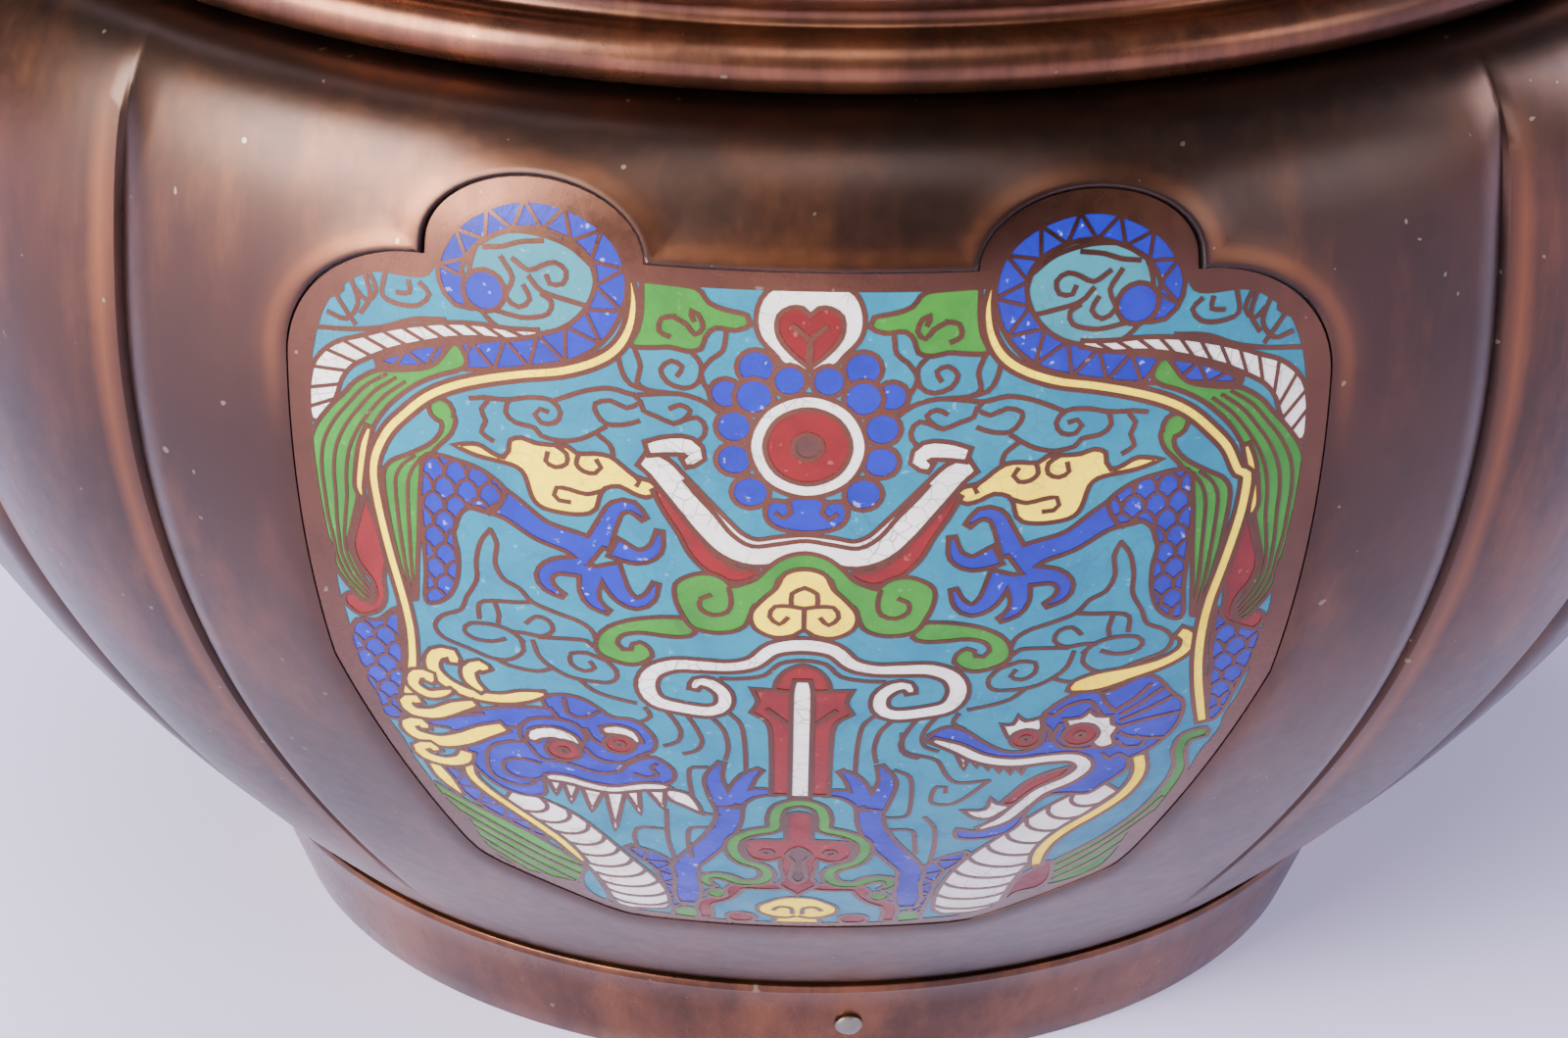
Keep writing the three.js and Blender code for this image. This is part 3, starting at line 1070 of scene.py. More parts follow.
@dataclass
class EnamelPanel:
    """One enamelled plate: bronze margin and walls, with enamel fused into the cells between them."""

    form: BowlForm
    outline: PanelOutline
    bronze: bpy.types.Material
    colours: list[bpy.types.Material]
    sketch: Sketch
    field_loop: np.ndarray
    face_offset: float = -0.65
    enamel_sink: float = 0.09
    cell_depth: float = 0.38
    enamel_bed: float = 0.34
    back_offset: float = -1.6
    grid: float = 5.0
    rim_clear: float = 0.2
    cut: tuple = ()

    def to_sheet(self, chart: np.ndarray) -> np.ndarray:
        """Belly chart places as true distances across the panel."""
        radius = self.form.at(chart[:, 1])[0]
        return np.column_stack((chart[:, 0] * radius / self.form.belly_radius, chart[:, 1]))

    def to_space(self, sheet: np.ndarray, offset: float) -> np.ndarray:
        """Places on the sheet as points of the bowl at an offset."""
        theta = sheet[:, 0] / self.form.at(sheet[:, 1])[0]
        return self.form.place(theta, sheet[:, 1], offset)

    def regions(self) -> tuple[np.ndarray, np.ndarray, np.ndarray, np.ndarray]:
        """Cuts the plate along every wall.

        Returns:
            Points of the sheet, triangles, the tint of each triangle, and the rim's point indices.
        """
        rim = self.to_sheet(self.outline.loop(0.0))
        loops = [self.field_loop, *(loop for loop, _, _ in self.sketch.layers)]
        points, edges, base = [rim], [ring_edges(0, len(rim))], len(rim)
        for loop in loops:
            held = inside(rim, loop)
            if not held.all():
                loop = loop[held & (gap_to(rim, loop) > self.rim_clear)]
            points.append(loop)
            edges.append(ring_edges(base, len(loop)))
            base += len(loop)
        points.append(inner_grid(rim, self.grid))
        plane, faces, went = triangulate(np.vstack(points), np.vstack(edges))
        middle = plane[faces].mean(1)
        whole = inside(rim, middle)
        faces, middle = faces[whole], middle[whole]
        tints = np.full(len(faces), Tint.TURQUOISE.value)
        for loop, tint, clip in self.sketch.layers:
            held = inside(loop, middle)
            if clip is not None:
                held &= inside(clip, middle)
            tints[held] = tint.value
        tints[~inside(self.field_loop, middle)] = Tint.BRONZE.value
        return plane, faces, tints, np.array([went[i] for i in range(len(rim))])

    @staticmethod
    def borders(faces: np.ndarray, chosen: np.ndarray) -> np.ndarray:
        """Edges of the chosen triangles that no other chosen triangle shares, in their own direction.

        Args:
            faces: The triangles.
            chosen: Which of them are meant.

        Returns:
            Pairs of point indices.
        """
        directed = np.vstack((faces[:, [0, 1]], faces[:, [1, 2]], faces[:, [2, 0]]))
        held = np.tile(chosen, 3)
        size = faces.max() + 1
        forward = directed[:, 0] * size + directed[:, 1]
        backward = directed[:, 1] * size + directed[:, 0]
        return directed[held & ~np.isin(forward, backward[held])]

    def build(self, index: int) -> None:
        """Builds the plate and its enamel for one lobe and dresses them.

        Args:
            index: The lobe, 0 for the one that faces -Y.
        """
        self.cut = self.cut or self.regions()
        plane, faces, tints, rim = self.cut
        bare = tints == Tint.BRONZE.value
        spin = np.array(Matrix.Rotation(self.form.lobe_angle * index, 3, "Z"))
        top = self.to_space(plane, self.face_offset)
        bed = self.to_space(plane, self.face_offset - self.cell_depth)
        back_plane, back_faces, went = fill(plane[rim], 2 * self.grid)
        back = self.to_space(back_plane, self.back_offset)
        count = len(plane)
        cell_edges = self.borders(faces, ~bare)
        plate_faces = faces[bare].tolist() + (faces[~bare] + count).tolist()
        plate_faces += [[a, b, b + count, a + count] for a, b in cell_edges]
        for i, start in enumerate(rim):
            end = rim[(i + 1) % len(rim)]
            low, next_low = 2 * count + went[i], 2 * count + went[(i + 1) % len(rim)]
            plate_faces.append([end, start, low, next_low])
        plate_faces += (back_faces[:, ::-1] + 2 * count).tolist()
        points = np.vstack((top, bed, back)) @ spin.T
        plate = self.tidy(f"panel_plate_{index + 1}", points, plate_faces, [self.bronze], None)
        place_piece(plate, Slot.PANEL_BRONZE, f"enamel_panel_{index + 1}")
        upper = self.to_space(plane, self.face_offset - self.enamel_sink)
        lower = self.to_space(plane, self.face_offset - self.enamel_bed)
        enamel_faces = faces[~bare].tolist() + (faces[~bare][:, ::-1] + count).tolist()
        enamel_faces += [[b, a, a + count, b + count] for a, b in cell_edges]
        slots = np.concatenate((tints[~bare] - 1, tints[~bare] - 1, np.zeros(len(cell_edges), int)))
        points = np.vstack((upper, lower)) @ spin.T
        glass = self.tidy(f"panel_enamel_{index + 1}", points, enamel_faces, self.colours, slots)
        place_piece(glass, Slot.ENAMEL)

    @staticmethod
    def tidy(
        name: str,
        points: np.ndarray,
        faces: list,
        materials: list[bpy.types.Material],
        slots: np.ndarray | None,
    ) -> bpy.types.Object:
        """Makes a piece without the points that no face uses.

        Args:
            name: Its name.
            points: Points in millimetres, n by 3.
            faces: The triangles.
            materials: The materials, in slot order.
            slots: The material slot of each face.

        Returns:
            The new object.
        """
        used = np.unique(np.concatenate([np.ravel(face) for face in faces]))
        new = np.full(len(points), -1)
        new[used] = np.arange(len(used))
        renamed = [new[face].tolist() for face in faces]
        return mesh_object(name, points[used], renamed, materials, slots)


def begin_tree(name: str, inputs: dict[str, str], output: str) -> tuple[Tree, bpy.types.NodeOutputs]:
    """Starts a Geometry Nodes tree with named inputs and one named result.

    Args:
        name: The tree's name.
        inputs: The kind of each input by its name.
        output: The result's name.

    Returns:
        The tree and the sockets of its inputs.
    """
    tree = bpy.data.node_groups.new(name, "GeometryNodeTree")
    for title, kind in inputs.items():
        tree.interface.new_socket(title, in_out="INPUT", socket_type="NodeSocket" + kind)
    tree.interface.new_socket(output, in_out="OUTPUT", socket_type="NodeSocketGeometry")
    return tree, add(tree, "NodeGroupInput").outputs


def end_tree(tree: Tree, geometry: Socket, finish: Socket) -> Tree:
    """Makes a tree's instances real, dresses them and hands them out.

    Args:
        tree: The node tree.
        geometry: What the tree has made.
        finish: Its material.

    Returns:
        The finished tree.
    """
    real = add(tree, "GeometryNodeRealizeInstances", {"Geometry": geometry})
    dressed = add(tree, "GeometryNodeSetMaterial", {"Geometry": real.outputs[0], "Material": finish})
    add(tree, "NodeGroupOutput", {0: dressed.outputs[0]})
    return tree


@dataclass(frozen=True)
class TurnedTree:
    """A Geometry Nodes tree that turns a section round the upright axis."""

    name: str = "turned_ring"

    def build(self) -> Tree:
        """Builds the tree with its named inputs.

        Returns:
            The tree.
        """
        inputs = {"Section": "Geometry", "Steps": "Int", "Weld": "Float", "Finish": "Material"}
        tree, given = begin_tree(self.name, inputs, "Ring")
        count = add(
            tree, "GeometryNodeAttributeDomainSize", {"Geometry": given["Section"]}, component="MESH",
        ).outputs["Point Count"]
        columns = add(tree, "ShaderNodeMath", {0: given["Steps"], 1: 1.0}, operation="ADD").outputs[0]
        grid = add(
            tree, "GeometryNodeMeshGrid",
            {"Vertices X": columns, "Vertices Y": count, "Size X": 1.0, "Size Y": 1.0},
        )
        # The unit grid's own place gives each point its share of the turn and its point of the section.
        here = add(tree, "GeometryNodeInputPosition").outputs[0]
        shares = add(tree, "ShaderNodeVectorMath", {0: here, 1: (0.5, 0.5, 0.0)}, operation="ADD")
        split = add(tree, "ShaderNodeSeparateXYZ", {0: shares.outputs[0]}).outputs
        last = add(tree, "ShaderNodeMath", {0: count, 1: 1.0}, operation="SUBTRACT").outputs[0]
        row = add(tree, "ShaderNodeMath", {0: split[1], 1: last}, operation="MULTIPLY").outputs[0]
        index = add(tree, "FunctionNodeFloatToInt", {0: row}, rounding_mode="ROUND").outputs[0]
        sample = add(
            tree, "GeometryNodeSampleIndex", {"Geometry": given["Section"], "Value": here, "Index": index},
            data_type="FLOAT_VECTOR", domain="POINT",
        ).outputs[0]
        angle = add(tree, "ShaderNodeMath", {0: split[0], 1: math.tau}, operation="MULTIPLY").outputs[0]
        spun = add(
            tree, "ShaderNodeVectorRotate", {"Vector": sample, "Angle": angle}, rotation_type="Z_AXIS",
        ).outputs[0]
        moved = add(tree, "GeometryNodeSetPosition", {"Geometry": grid.outputs["Mesh"], "Position": spun})
        welded = add(
            tree, "GeometryNodeMergeByDistance", {"Geometry": moved.outputs[0], "Distance": given["Weld"]},
        )
        return end_tree(tree, welded.outputs[0], given["Finish"])


@dataclass(frozen=True)
class PinTree:
    """A Geometry Nodes tree that sets copies of one pin round a circle, turned to its face."""

    name: str = "pins_round_foot"

    def build(self) -> Tree:
        """Builds the tree with its named inputs.

        Returns:
            The tree.
        """
        inputs = {
            "Pin": "Geometry", "Count": "Int", "Radius": "Float", "Height": "Float", "First Turn": "Float",
            "Tilt": "Float", "Finish": "Material",
        }
        tree, given = begin_tree(self.name, inputs, "Pins")
        spots = add(tree, "GeometryNodeMeshLine", {"Count": given["Count"]}).outputs[0]
        index = add(tree, "GeometryNodeInputIndex").outputs[0]
        pitch = add(tree, "ShaderNodeMath", {0: math.tau, 1: given["Count"]}, operation="DIVIDE").outputs[0]
        part = add(tree, "ShaderNodeMath", {0: index, 1: pitch}, operation="MULTIPLY").outputs[0]
        turn = add(tree, "ShaderNodeMath", {0: part, 1: given["First Turn"]}, operation="ADD").outputs[0]
        heading = add(tree, "ShaderNodeMath", {0: turn, 1: math.pi / 2}, operation="SUBTRACT").outputs[0]
        level = add(tree, "ShaderNodeCombineXYZ", {0: given["Radius"], 2: given["Height"]}).outputs[0]
        spot = add(
            tree, "ShaderNodeVectorRotate", {"Vector": level, "Angle": heading}, rotation_type="Z_AXIS",
        ).outputs[0]
        ring = add(tree, "GeometryNodeSetPosition", {"Geometry": spots, "Position": spot}).outputs[0]
        lean = add(tree, "ShaderNodeCombineXYZ", {1: given["Tilt"], 2: heading}).outputs[0]
        facing = add(tree, "FunctionNodeEulerToRotation", {0: lean}).outputs[0]
        copies = add(
            tree, "GeometryNodeInstanceOnPoints",
            {"Points": ring, "Instance": given["Pin"], "Rotation": facing},
        )
        return end_tree(tree, copies.outputs[0], given["Finish"])


def grow_with_nodes(
    name: str,
    points: np.ndarray,
    links: list,
    faces: list,
    tree: Tree,
    inputs: dict[str, object],
    crease: float,
) -> bpy.types.Object:
    """Runs a Geometry Nodes tree on a starting mesh and keeps the result as a plain mesh.

    Args:
        name: The piece's name.
        points: Starting points in millimetres.
        links: Edges between them.
        faces: Faces between them.
        tree: The tree.
        inputs: Values by the tree's input names.
        crease: The angle in degrees past which an edge is shaded sharp.

    Returns:
        The finished piece.
    """
    start = bpy.data.meshes.new(name + "_start")
    start.from_pydata((np.asarray(points) * MM).tolist(), links, faces)
    grower = bpy.data.objects.new(name + "_start", start)
    bpy.context.scene.collection.objects.link(grower)
    modifier = grower.modifiers.new("grow", "NODES")
    modifier.node_group = tree
    for item in tree.interface.items_tree:
        if item.name in inputs:
            modifier[item.identifier] = inputs[item.name]
    graph = bpy.context.evaluated_depsgraph_get()
    mesh = bpy.data.meshes.new_from_object(grower.evaluated_get(graph), depsgraph=graph)
    grower.modifiers.remove(modifier)
    bpy.data.objects.remove(grower)
    doubles = 1e-7
    weld_mesh(mesh, doubles)
    mesh.name = name
    return show_mesh(name, mesh, crease)


def arc(centre: tuple, radii: tuple, start: float, end: float, steps: int) -> list:
    """Points of an arc in a section, its ends included. Angles are in degrees."""
    angles = np.radians(np.linspace(start, end, steps + 1))
    return [(centre[0] + radii[0] * math.cos(a), centre[1] + radii[1] * math.sin(a)) for a in angles]


def eased_corners(section: list, cut: float) -> list:
    """Takes the sharpness off each corner of a closed section.

    Args:
        section: Corners as radius and height.
        cut: How far from the corner the bevel starts.

    Returns:
        The new closed section.
    """
    corners = np.array(section, float)
    soft_bend = math.radians(25)
    crown = 0.3
    made = []
    for before, here, after in zip(np.roll(corners, 1, 0), corners, np.roll(corners, -1, 0)):
        back, on = before - here, after - here
        size_back, size_on = np.hypot(*back), np.hypot(*on)
        bend = math.acos(float(np.clip(-(back @ on) / (size_back * size_on), -1, 1)))
        if bend < soft_bend:
            made.append(here)
            continue
        reach = min(cut, size_back / 3, size_on / 3)
        made.append(here + back / size_back * reach)
        made.append(here + (back / size_back + on / size_on) * reach * crown)
        made.append(here + on / size_on * reach)
    return [tuple(p) for p in made]


@dataclass
class TurnedRing:
    """A bronze ring turned from a section."""

    finish: bpy.types.Material
    steps: int = 288
    weld: float = 0.002
    corner: float = 0.22
    crease: float = 30.0

    def turn(self, name: str, section: list, tree: Tree) -> bpy.types.Object:
        """Turns a closed section of radius and height into a piece.

        Args:
            name: The piece's name.
            section: Corners of the section, the last joined to the first.
            tree: The turning tree.

        Returns:
            The piece.
        """
        closed = eased_corners(section, self.corner)
        closed.append(closed[0])
        points = np.array([(0.0, -r, z) for r, z in closed])
        links = [(i, i + 1) for i in range(len(points) - 1)]
        inputs = {"Steps": self.steps, "Weld": self.weld * MM, "Finish": self.finish}
        return grow_with_nodes(name, points, links, [], tree, inputs, self.crease)


@dataclass
class NeckCollar(TurnedRing):
    """The moulded collar on the shoulder: half-round ring, cove, band, flare and rolled lip."""

    seat: float = 205.6
    mouth_radius: float = 149.0
    ring_radius: float = 155.6
    ring_height: float = 9.8
    ring_bulge: float = 5.0
    cove_height: float = 4.0
    cove_depth: float = 0.9
    band_step: float = 2.0
    band_height: float = 7.0
    band_bulge: float = 1.6
    flare_height: float = 6.0
    flare_out: float = 6.0
    lip_radius: float = 4.6
    lip_crown: float = 4.2
    cove_share: float = 0.45
    flare_power: float = 2.2
    ring_steps: int = 18
    cove_steps: int = 8
    swell_steps: int = 8
    flare_steps: int = 6
    lip_steps: int = 22

    def section(self) -> list:
        """The collar's closed section, from the foot of its bore outwards and up.

        Returns:
            Corners as radius and height.
        """
        cove_foot = self.seat + self.ring_height
        cove_top = cove_foot + self.cove_height
        band = self.ring_radius + self.band_step
        band_top = cove_top + self.band_height
        lip = band + self.flare_out
        lip_height = band_top + self.flare_height + self.lip_radius
        ring = arc(
            (self.ring_radius, self.seat + self.ring_height / 2), (self.ring_bulge, self.ring_height / 2),
            -90, 90, self.ring_steps,
        )
        cove_half = self.cove_height * self.cove_share
        cove = arc(
            (self.ring_radius, cove_foot + cove_half), (self.cove_depth, cove_half),
            -90, -270, self.cove_steps,
        )
        swell = []
        for share in np.linspace(0, 1, self.swell_steps + 1):
            out = band + self.band_bulge * math.sin(math.pi * share)
            swell.append((out, cove_top + self.band_height * share))
        flare = []
        for share in np.linspace(0, 1, self.flare_steps + 1)[1:-1]:
            out = band + self.flare_out * share ** self.flare_power
            flare.append((out, band_top + self.flare_height * share))
        rim = arc((lip, lip_height), (self.lip_radius, self.lip_radius), -90, 0, self.lip_steps // 2)
        rim += arc((lip, lip_height), (self.lip_radius, self.lip_crown), 0, 180, self.lip_steps)[1:]
        inner = [(lip - self.lip_radius, lip_height - self.lip_radius / 2), (self.mouth_radius, band_top)]
        return [(self.mouth_radius, self.seat), *ring, *cove[1:], *swell, *flare, *rim, *inner]

    def build(self, tree: Tree) -> None:
        """Builds and dresses the collar."""
        piece = self.turn("neck_collar_turned", self.section(), tree)
        place_piece(piece, Slot.RUBBED_BRONZE, "neck_collar")


@dataclass
class FootRing(TurnedRing):
    """The plain foot band, narrower at the bottom, with a thin bead along its top edge."""

    bore: float = 79.0
    bottom: float = 87.3
    top: float = 95.0
    height: float = 19.0
    bead_height: float = 1.8
    bead_step: float = 0.5
    bead_ease: float = 0.1
    face_steps: int = 4

    def section(self) -> list:
        """The foot's closed section, from its bore outwards and up.

        Returns:
            Corners as radius and height.
        """
        bead_foot = self.height - self.bead_height
        face = [(self.face_radius(z), z) for z in np.linspace(0, bead_foot, self.face_steps + 1)]
        bead = [
            (self.top - self.bead_ease, bead_foot + self.bead_height / 4),
            (self.top, bead_foot + self.bead_height / 2),
        ]
        return [(self.bore, 0.0), *face, *bead, (self.top, self.height), (self.bore, self.height)]

    @property
    def slope(self) -> float:
        """How far the face leans out for each millimetre up."""
        return (self.top - self.bead_step - self.bottom) / (self.height - self.bead_height)

    def face_radius(self, z: float) -> float:
        """Radius of the sloping face at a height."""
        return self.bottom + self.slope * z

    def build(self, tree: Tree) -> None:
        """Builds and dresses the foot."""
        piece = self.turn("foot_ring_turned", self.section(), tree)
        place_piece(piece, Slot.RUBBED_BRONZE, "foot_ring")


@dataclass
class FootPins:
    """The pins that hold the foot, with small hammered heads."""

    finish: bpy.types.Material
    count: int = 3
    first_turn: float = 5.6
    height: float = 10.0
    shank: float = 1.6
    head: float = 2.3
    head_rise: float = 1.1
    gap: float = 0.3
    grip: float = 4.0
    brim: float = 0.15
    under_share: float = 0.97
    dent: float = 0.05
    dent_turn: float = 0.6
    dome_steps: int = 8
    sides: int = 40
    crease: float = 40.0

    def build(self, foot: FootRing, tree: Tree) -> None:
        """Builds all the pins as one piece.

        Args:
            foot: The foot that they are driven into.
            tree: The tree that sets them round it.
        """
        radius = foot.face_radius(self.height)
        reach = radius - foot.bore + self.gap + self.grip
        under = self.head * self.under_share
        profile = [(0.0, -reach), (self.shank, -reach), (self.shank, self.gap), (under, self.gap)]
        dome = self.head_rise - self.brim
        for a in np.linspace(0, math.pi / 2, self.dome_steps + 1)[:-1]:
            profile.append((self.head * math.cos(a), self.gap + self.brim + dome * math.sin(a)))
        profile.append((0.0, self.gap + self.head_rise))
        points = [(profile[0][1], 0.0, 0.0)]
        for edge, x in profile[1:-1]:
            hammered = self.dent * (edge < under) * (x > 0)
            for k in range(self.sides):
                turn = math.tau * k / self.sides
                size = edge * (1 - hammered * math.sin(2 * turn + self.dent_turn))
                points.append((x, size * math.cos(turn), size * math.sin(turn)))
        points.append((profile[-1][1], 0.0, 0.0))
        faces = []
        last, sides = len(points) - 1, self.sides
        for k in range(sides):
            n = (k + 1) % sides
            faces.append([0, 1 + n, 1 + k])
            faces.append([last, last - sides + k, last - sides + n])
            for j in range(len(profile) - 3):
                a = 1 + j * sides
                faces.append([a + k, a + n, a + n + sides, a + k + sides])
        inputs = {
            "Count": self.count,
            "Radius": radius * MM,
            "Height": self.height * MM,
            "First Turn": math.radians(self.first_turn),
            "Tilt": math.atan(foot.slope),
            "Finish": self.finish,
        }
        piece = grow_with_nodes("foot_pins", np.array(points), [], faces, tree, inputs, self.crease)
        nodes = [f"foot_pin_{k + 1}" for k in range(self.count)]
        place_piece(piece, Slot.PIN_METAL, *nodes)


def texture_place(tree: Tree, scale: tuple[float, float, float] = (1.0, 1.0, 1.0)) -> Socket:
    """Object coordinates in metres, stretched where a pattern runs one way."""
    here = add(tree, "ShaderNodeTexCoord").outputs["Object"]
    return add(tree, "ShaderNodeMapping", {"Vector": here, "Scale": scale}).outputs[0]


def grain(
    tree: Tree,
    place: Socket,
    size: float,
    low: float,
    high: float,
    detail: float = 4.0,
    roughness: float = 0.6,
) -> Socket:
    """A soft mask from noise.

    Args:
        tree: The material's tree.
        place: Coordinates in metres.
        size: Rough size of a blotch in millimetres.
        low: Noise value where the mask starts.
        high: Noise value where it is full.
        detail: Octaves of the noise.
        roughness: Weight of the finer octaves.

    Returns:
        The mask, 0 to 1.
    """
    noise = add(
        tree, "ShaderNodeTexNoise", {"Vector": place,
         "Scale": 1 / (size * MM), "Detail": detail, "Roughness": roughness},
    )
    return add(
        tree, "ShaderNodeMapRange", {"Value": noise.outputs[0], "From Min": low, "From Max": high},
        interpolation_type="SMOOTHSTEP",
    ).outputs[0]


def lay(tree: Tree, colour: Socket | Colour, mask: Socket, share: float, code: str) -> Socket:
    """Lays a colour over another where a mask is.

    Args:
        tree: The material's tree.
        colour: What lies under it.
        mask: Where it goes, 0 to 1.
        share: How much of it shows where the mask is full.
        code: Its sRGB hex code.

    Returns:
        The mixed colour.
    """
    weight = add(tree, "ShaderNodeMath", {0: mask, 1: share}, operation="MULTIPLY", use_clamp=True)
    mix = add(tree, "ShaderNodeMix", {0: weight.outputs[0], 6: colour, 7: linear(code)}, data_type="RGBA")
    return mix.outputs[2]


def surface(name: str) -> tuple[bpy.types.Material, Tree, bpy.types.Node]:
    """A new material with its tree and an empty main shader.

    Args:
        name: Its name.

    Returns:
        The material, its tree and its shader.
    """
    material = bpy.data.materials.new(name)
    material.use_nodes = True
    tree = material.node_tree
    tree.nodes.clear()
    shader = add(tree, "ShaderNodeBsdfPrincipled")
    add(tree, "ShaderNodeOutputMaterial", {"Surface": shader.outputs[0]})
    return material, tree, shader


@dataclass(frozen=True)
class AgedBronze:
    """Cast statuary bronze with a brown patina, rubbed back to copper where hands and cloth reach it. It
    can also paint highlights and shade from the skin's marks, and painted shade under the collar.
    """

    name: str
    brown: str
    copper: str
    soot: str
    rubbed: float
    blotch_low: float = 0.42
    blotch_high: float = 0.72
    gloss_rough: float = 0.3
    matt_rough: float = 0.5
    metallic: float = 0.9
    neck_shade: float = 0.0
    marks: bool = False
    wax: float = 0.15

    def build(self) -> bpy.types.Material:
        """Builds the material.

        Returns:
            The material.
        """
        material, tree, shader = surface(self.name)
        place = texture_place(tree)
        along = texture_place(tree, (1.0, 1.0, 0.22))
        # Broad cloudy changes of the patina 70 mm across, smudges of 11 mm, and rubbing along the turning.
        cloud = grain(tree, place, 70.0, self.blotch_low, self.blotch_high, 2.5, 0.45)
        smudge = grain(tree, place, 11.0, 0.5, 0.78, 3.0)
        rub_and_highlight = grain(tree, along, 26.0, 0.5 - self.rubbed * 0.25, 0.85 - self.rubbed * 0.3, 6.0, 0.7)
        colour = lay(tree, linear(self.brown), cloud, 0.6, self.soot)
        colour = lay(tree, colour, smudge, 0.4, self.soot)
        colour = lay(tree, colour, rub_and_highlight, self.rubbed, self.copper)
        if self.marks:
            # The skin's marks: copper that is partly rubbed wear and partly painted highlight, and
            # near-black painted shade in the grooves with a dark line along the top of each recess.
            for name, code in (("rub_and_highlight", self.copper), ("groove_shade_and_seam_line", "17110e")):
                mark = add(tree, "ShaderNodeAttribute", attribute_name=name, attribute_type="GEOMETRY")
                colour = lay(tree, colour, mark.outputs["Fac"], 1.0, code)
        if self.neck_shade:
            # Painted shade under the collar, ragged along its lower edge.
            height = add(tree, "ShaderNodeSeparateXYZ", {0: place}).outputs[2]
            high = add(
                tree, "ShaderNodeMapRange", {"Value": height, "From Min": 0.178, "From Max": 0.206},
                interpolation_type="SMOOTHSTEP",
            ).outputs[0]
            ragged = add(
                tree, "ShaderNodeMath", {0: grain(tree, place, 18.0, 0.3, 0.7), 1: 0.5, 2: 0.6},
                operation="MULTIPLY_ADD", use_clamp=True,
            ).outputs[0]
            shade = add(tree, "ShaderNodeMath", {0: high, 1: ragged}, operation="MULTIPLY").outputs[0]
            colour = lay(tree, colour, shade, self.neck_shade, "2b201b")
        # White and olive specks of old polish and verdigris, half a millimetre to two across.
        speck = grain(tree, place, 2.4, 0.775, 0.79, 1.0)
        colour = lay(tree, colour, speck, 0.5, "8d8566")
        tree.links.new(colour, shader.inputs["Base Color"])
        fine = grain(tree, place, 3.0, 0.3, 0.75, 6.0)
        both = add(tree, "ShaderNodeMath", {0: fine, 1: cloud}, operation="ADD").outputs[0]
        rough = add(
            tree, "ShaderNodeMapRange",
            {"Value": both, "From Max": 2.0, "To Min": self.gloss_rough, "To Max": self.matt_rough},
        )
        tree.links.new(rough.outputs[0], shader.inputs["Roughness"])
        shader.inputs["Metallic"].default_value = self.metallic
        # The clear wax of a kept bronze greys the dark patina where it mirrors a light.
        shader.inputs["Coat Weight"].default_value = self.wax
        shader.inputs["Coat Roughness"].default_value = 0.32
        # Fine wear: hairline scratches along the turning and a slight cast skin.
        scratch = add(
            tree, "ShaderNodeTexNoise", {"Vector": texture_place(tree, (1.0, 1.0, 9.0)),
             "Scale": 1 / (9.0 * MM), "Detail": 8.0, "Roughness": 0.75},
        ).outputs[0]
        skin = add(
            tree, "ShaderNodeTexNoise", {"Vector": place, "Scale": 1 / (2.2 * MM), "Detail": 3.0},
        ).outputs[0]
        height = add(tree, "ShaderNodeMath", {0: scratch, 1: skin}, operation="ADD").outputs[0]
        bump = add(tree, "ShaderNodeBump", {"Height": height, "Strength": 0.12, "Distance": 0.12 * MM})
        tree.links.new(bump.outputs[0], shader.inputs["Normal"])
        return material


@dataclass(frozen=True)
class FusedEnamel:
    """Opaque glass enamel, stoned flat and polished: a satin gloss with pits, flecks and fine crackle."""

    name: str
    colour: str
    shade: str
    fleck: str
    fleck_share: float = 0.25
    crackle: float = 0.25
    rough: float = 0.28
    rough_spread: float = 0.16

    def build(self) -> bpy.types.Material:
        """Builds the material.

        Returns:
            The material.
        """
        material, tree, shader = surface(self.name)
        place = texture_place(tree)
        mottle = grain(tree, place, 9.0, 0.35, 0.7, 5.0)
        colour = lay(tree, linear(self.colour), mottle, 1.0, self.shade)
        # Pale flecks where pits in the glass hold old polish, up to a millimetre across.
        fleck = grain(tree, place, 1.7, 0.66, 0.72, 2.0)
        colour = lay(tree, colour, fleck, self.fleck_share, self.fleck)
        # Crackle: cracks in the glass about 2.5 mm apart, drawn wide enough to show.
        bent = add(tree, "ShaderNodeTexNoise", {"Vector": place, "Scale": 1 / (4 * MM), "Detail": 2.0})
        wander = add(
            tree, "ShaderNodeMix", {0: 0.0012, 4: place, 5: bent.outputs["Color"]}, data_type="VECTOR",
        ).outputs[1]
        cells = add(
            tree, "ShaderNodeTexVoronoi", {"Vector": wander, "Scale": 1 / (2.6 * MM)},
            feature="DISTANCE_TO_EDGE",
        ).outputs["Distance"]
        crack = add(
            tree, "ShaderNodeMapRange", {"Value": cells, "From Max": 0.05, "To Min": 1.0, "To Max": 0.0},
        ).outputs[0]
        patchy = grain(tree, place, 14.0, 0.42, 0.6)
        crack = add(tree, "ShaderNodeMath", {0: crack, 1: patchy}, operation="MULTIPLY").outputs[0]
        colour = lay(tree, colour, crack, self.crackle, "3a2f2a")
        tree.links.new(colour, shader.inputs["Base Color"])
        rough = add(
            tree, "ShaderNodeMapRange",
            {"Value": mottle, "To Min": self.rough, "To Max": self.rough + self.rough_spread},
        )
        tree.links.new(rough.outputs[0], shader.inputs["Roughness"])
        shader.inputs["IOR"].default_value = 1.52
        shader.inputs["Specular IOR Level"].default_value = 0.25
        # Pits of burst bubbles in the glass, a millimetre apart.
        pits = add(tree, "ShaderNodeTexNoise", {"Vector": place, "Scale": 1 / (1.3 * MM), "Detail": 3.0})
        bump = add(
            tree, "ShaderNodeBump", {"Height": pits.outputs[0], "Strength": 0.3, "Distance": 0.16 * MM},
        )
        tree.links.new(bump.outputs[0], shader.inputs["Normal"])
        return material


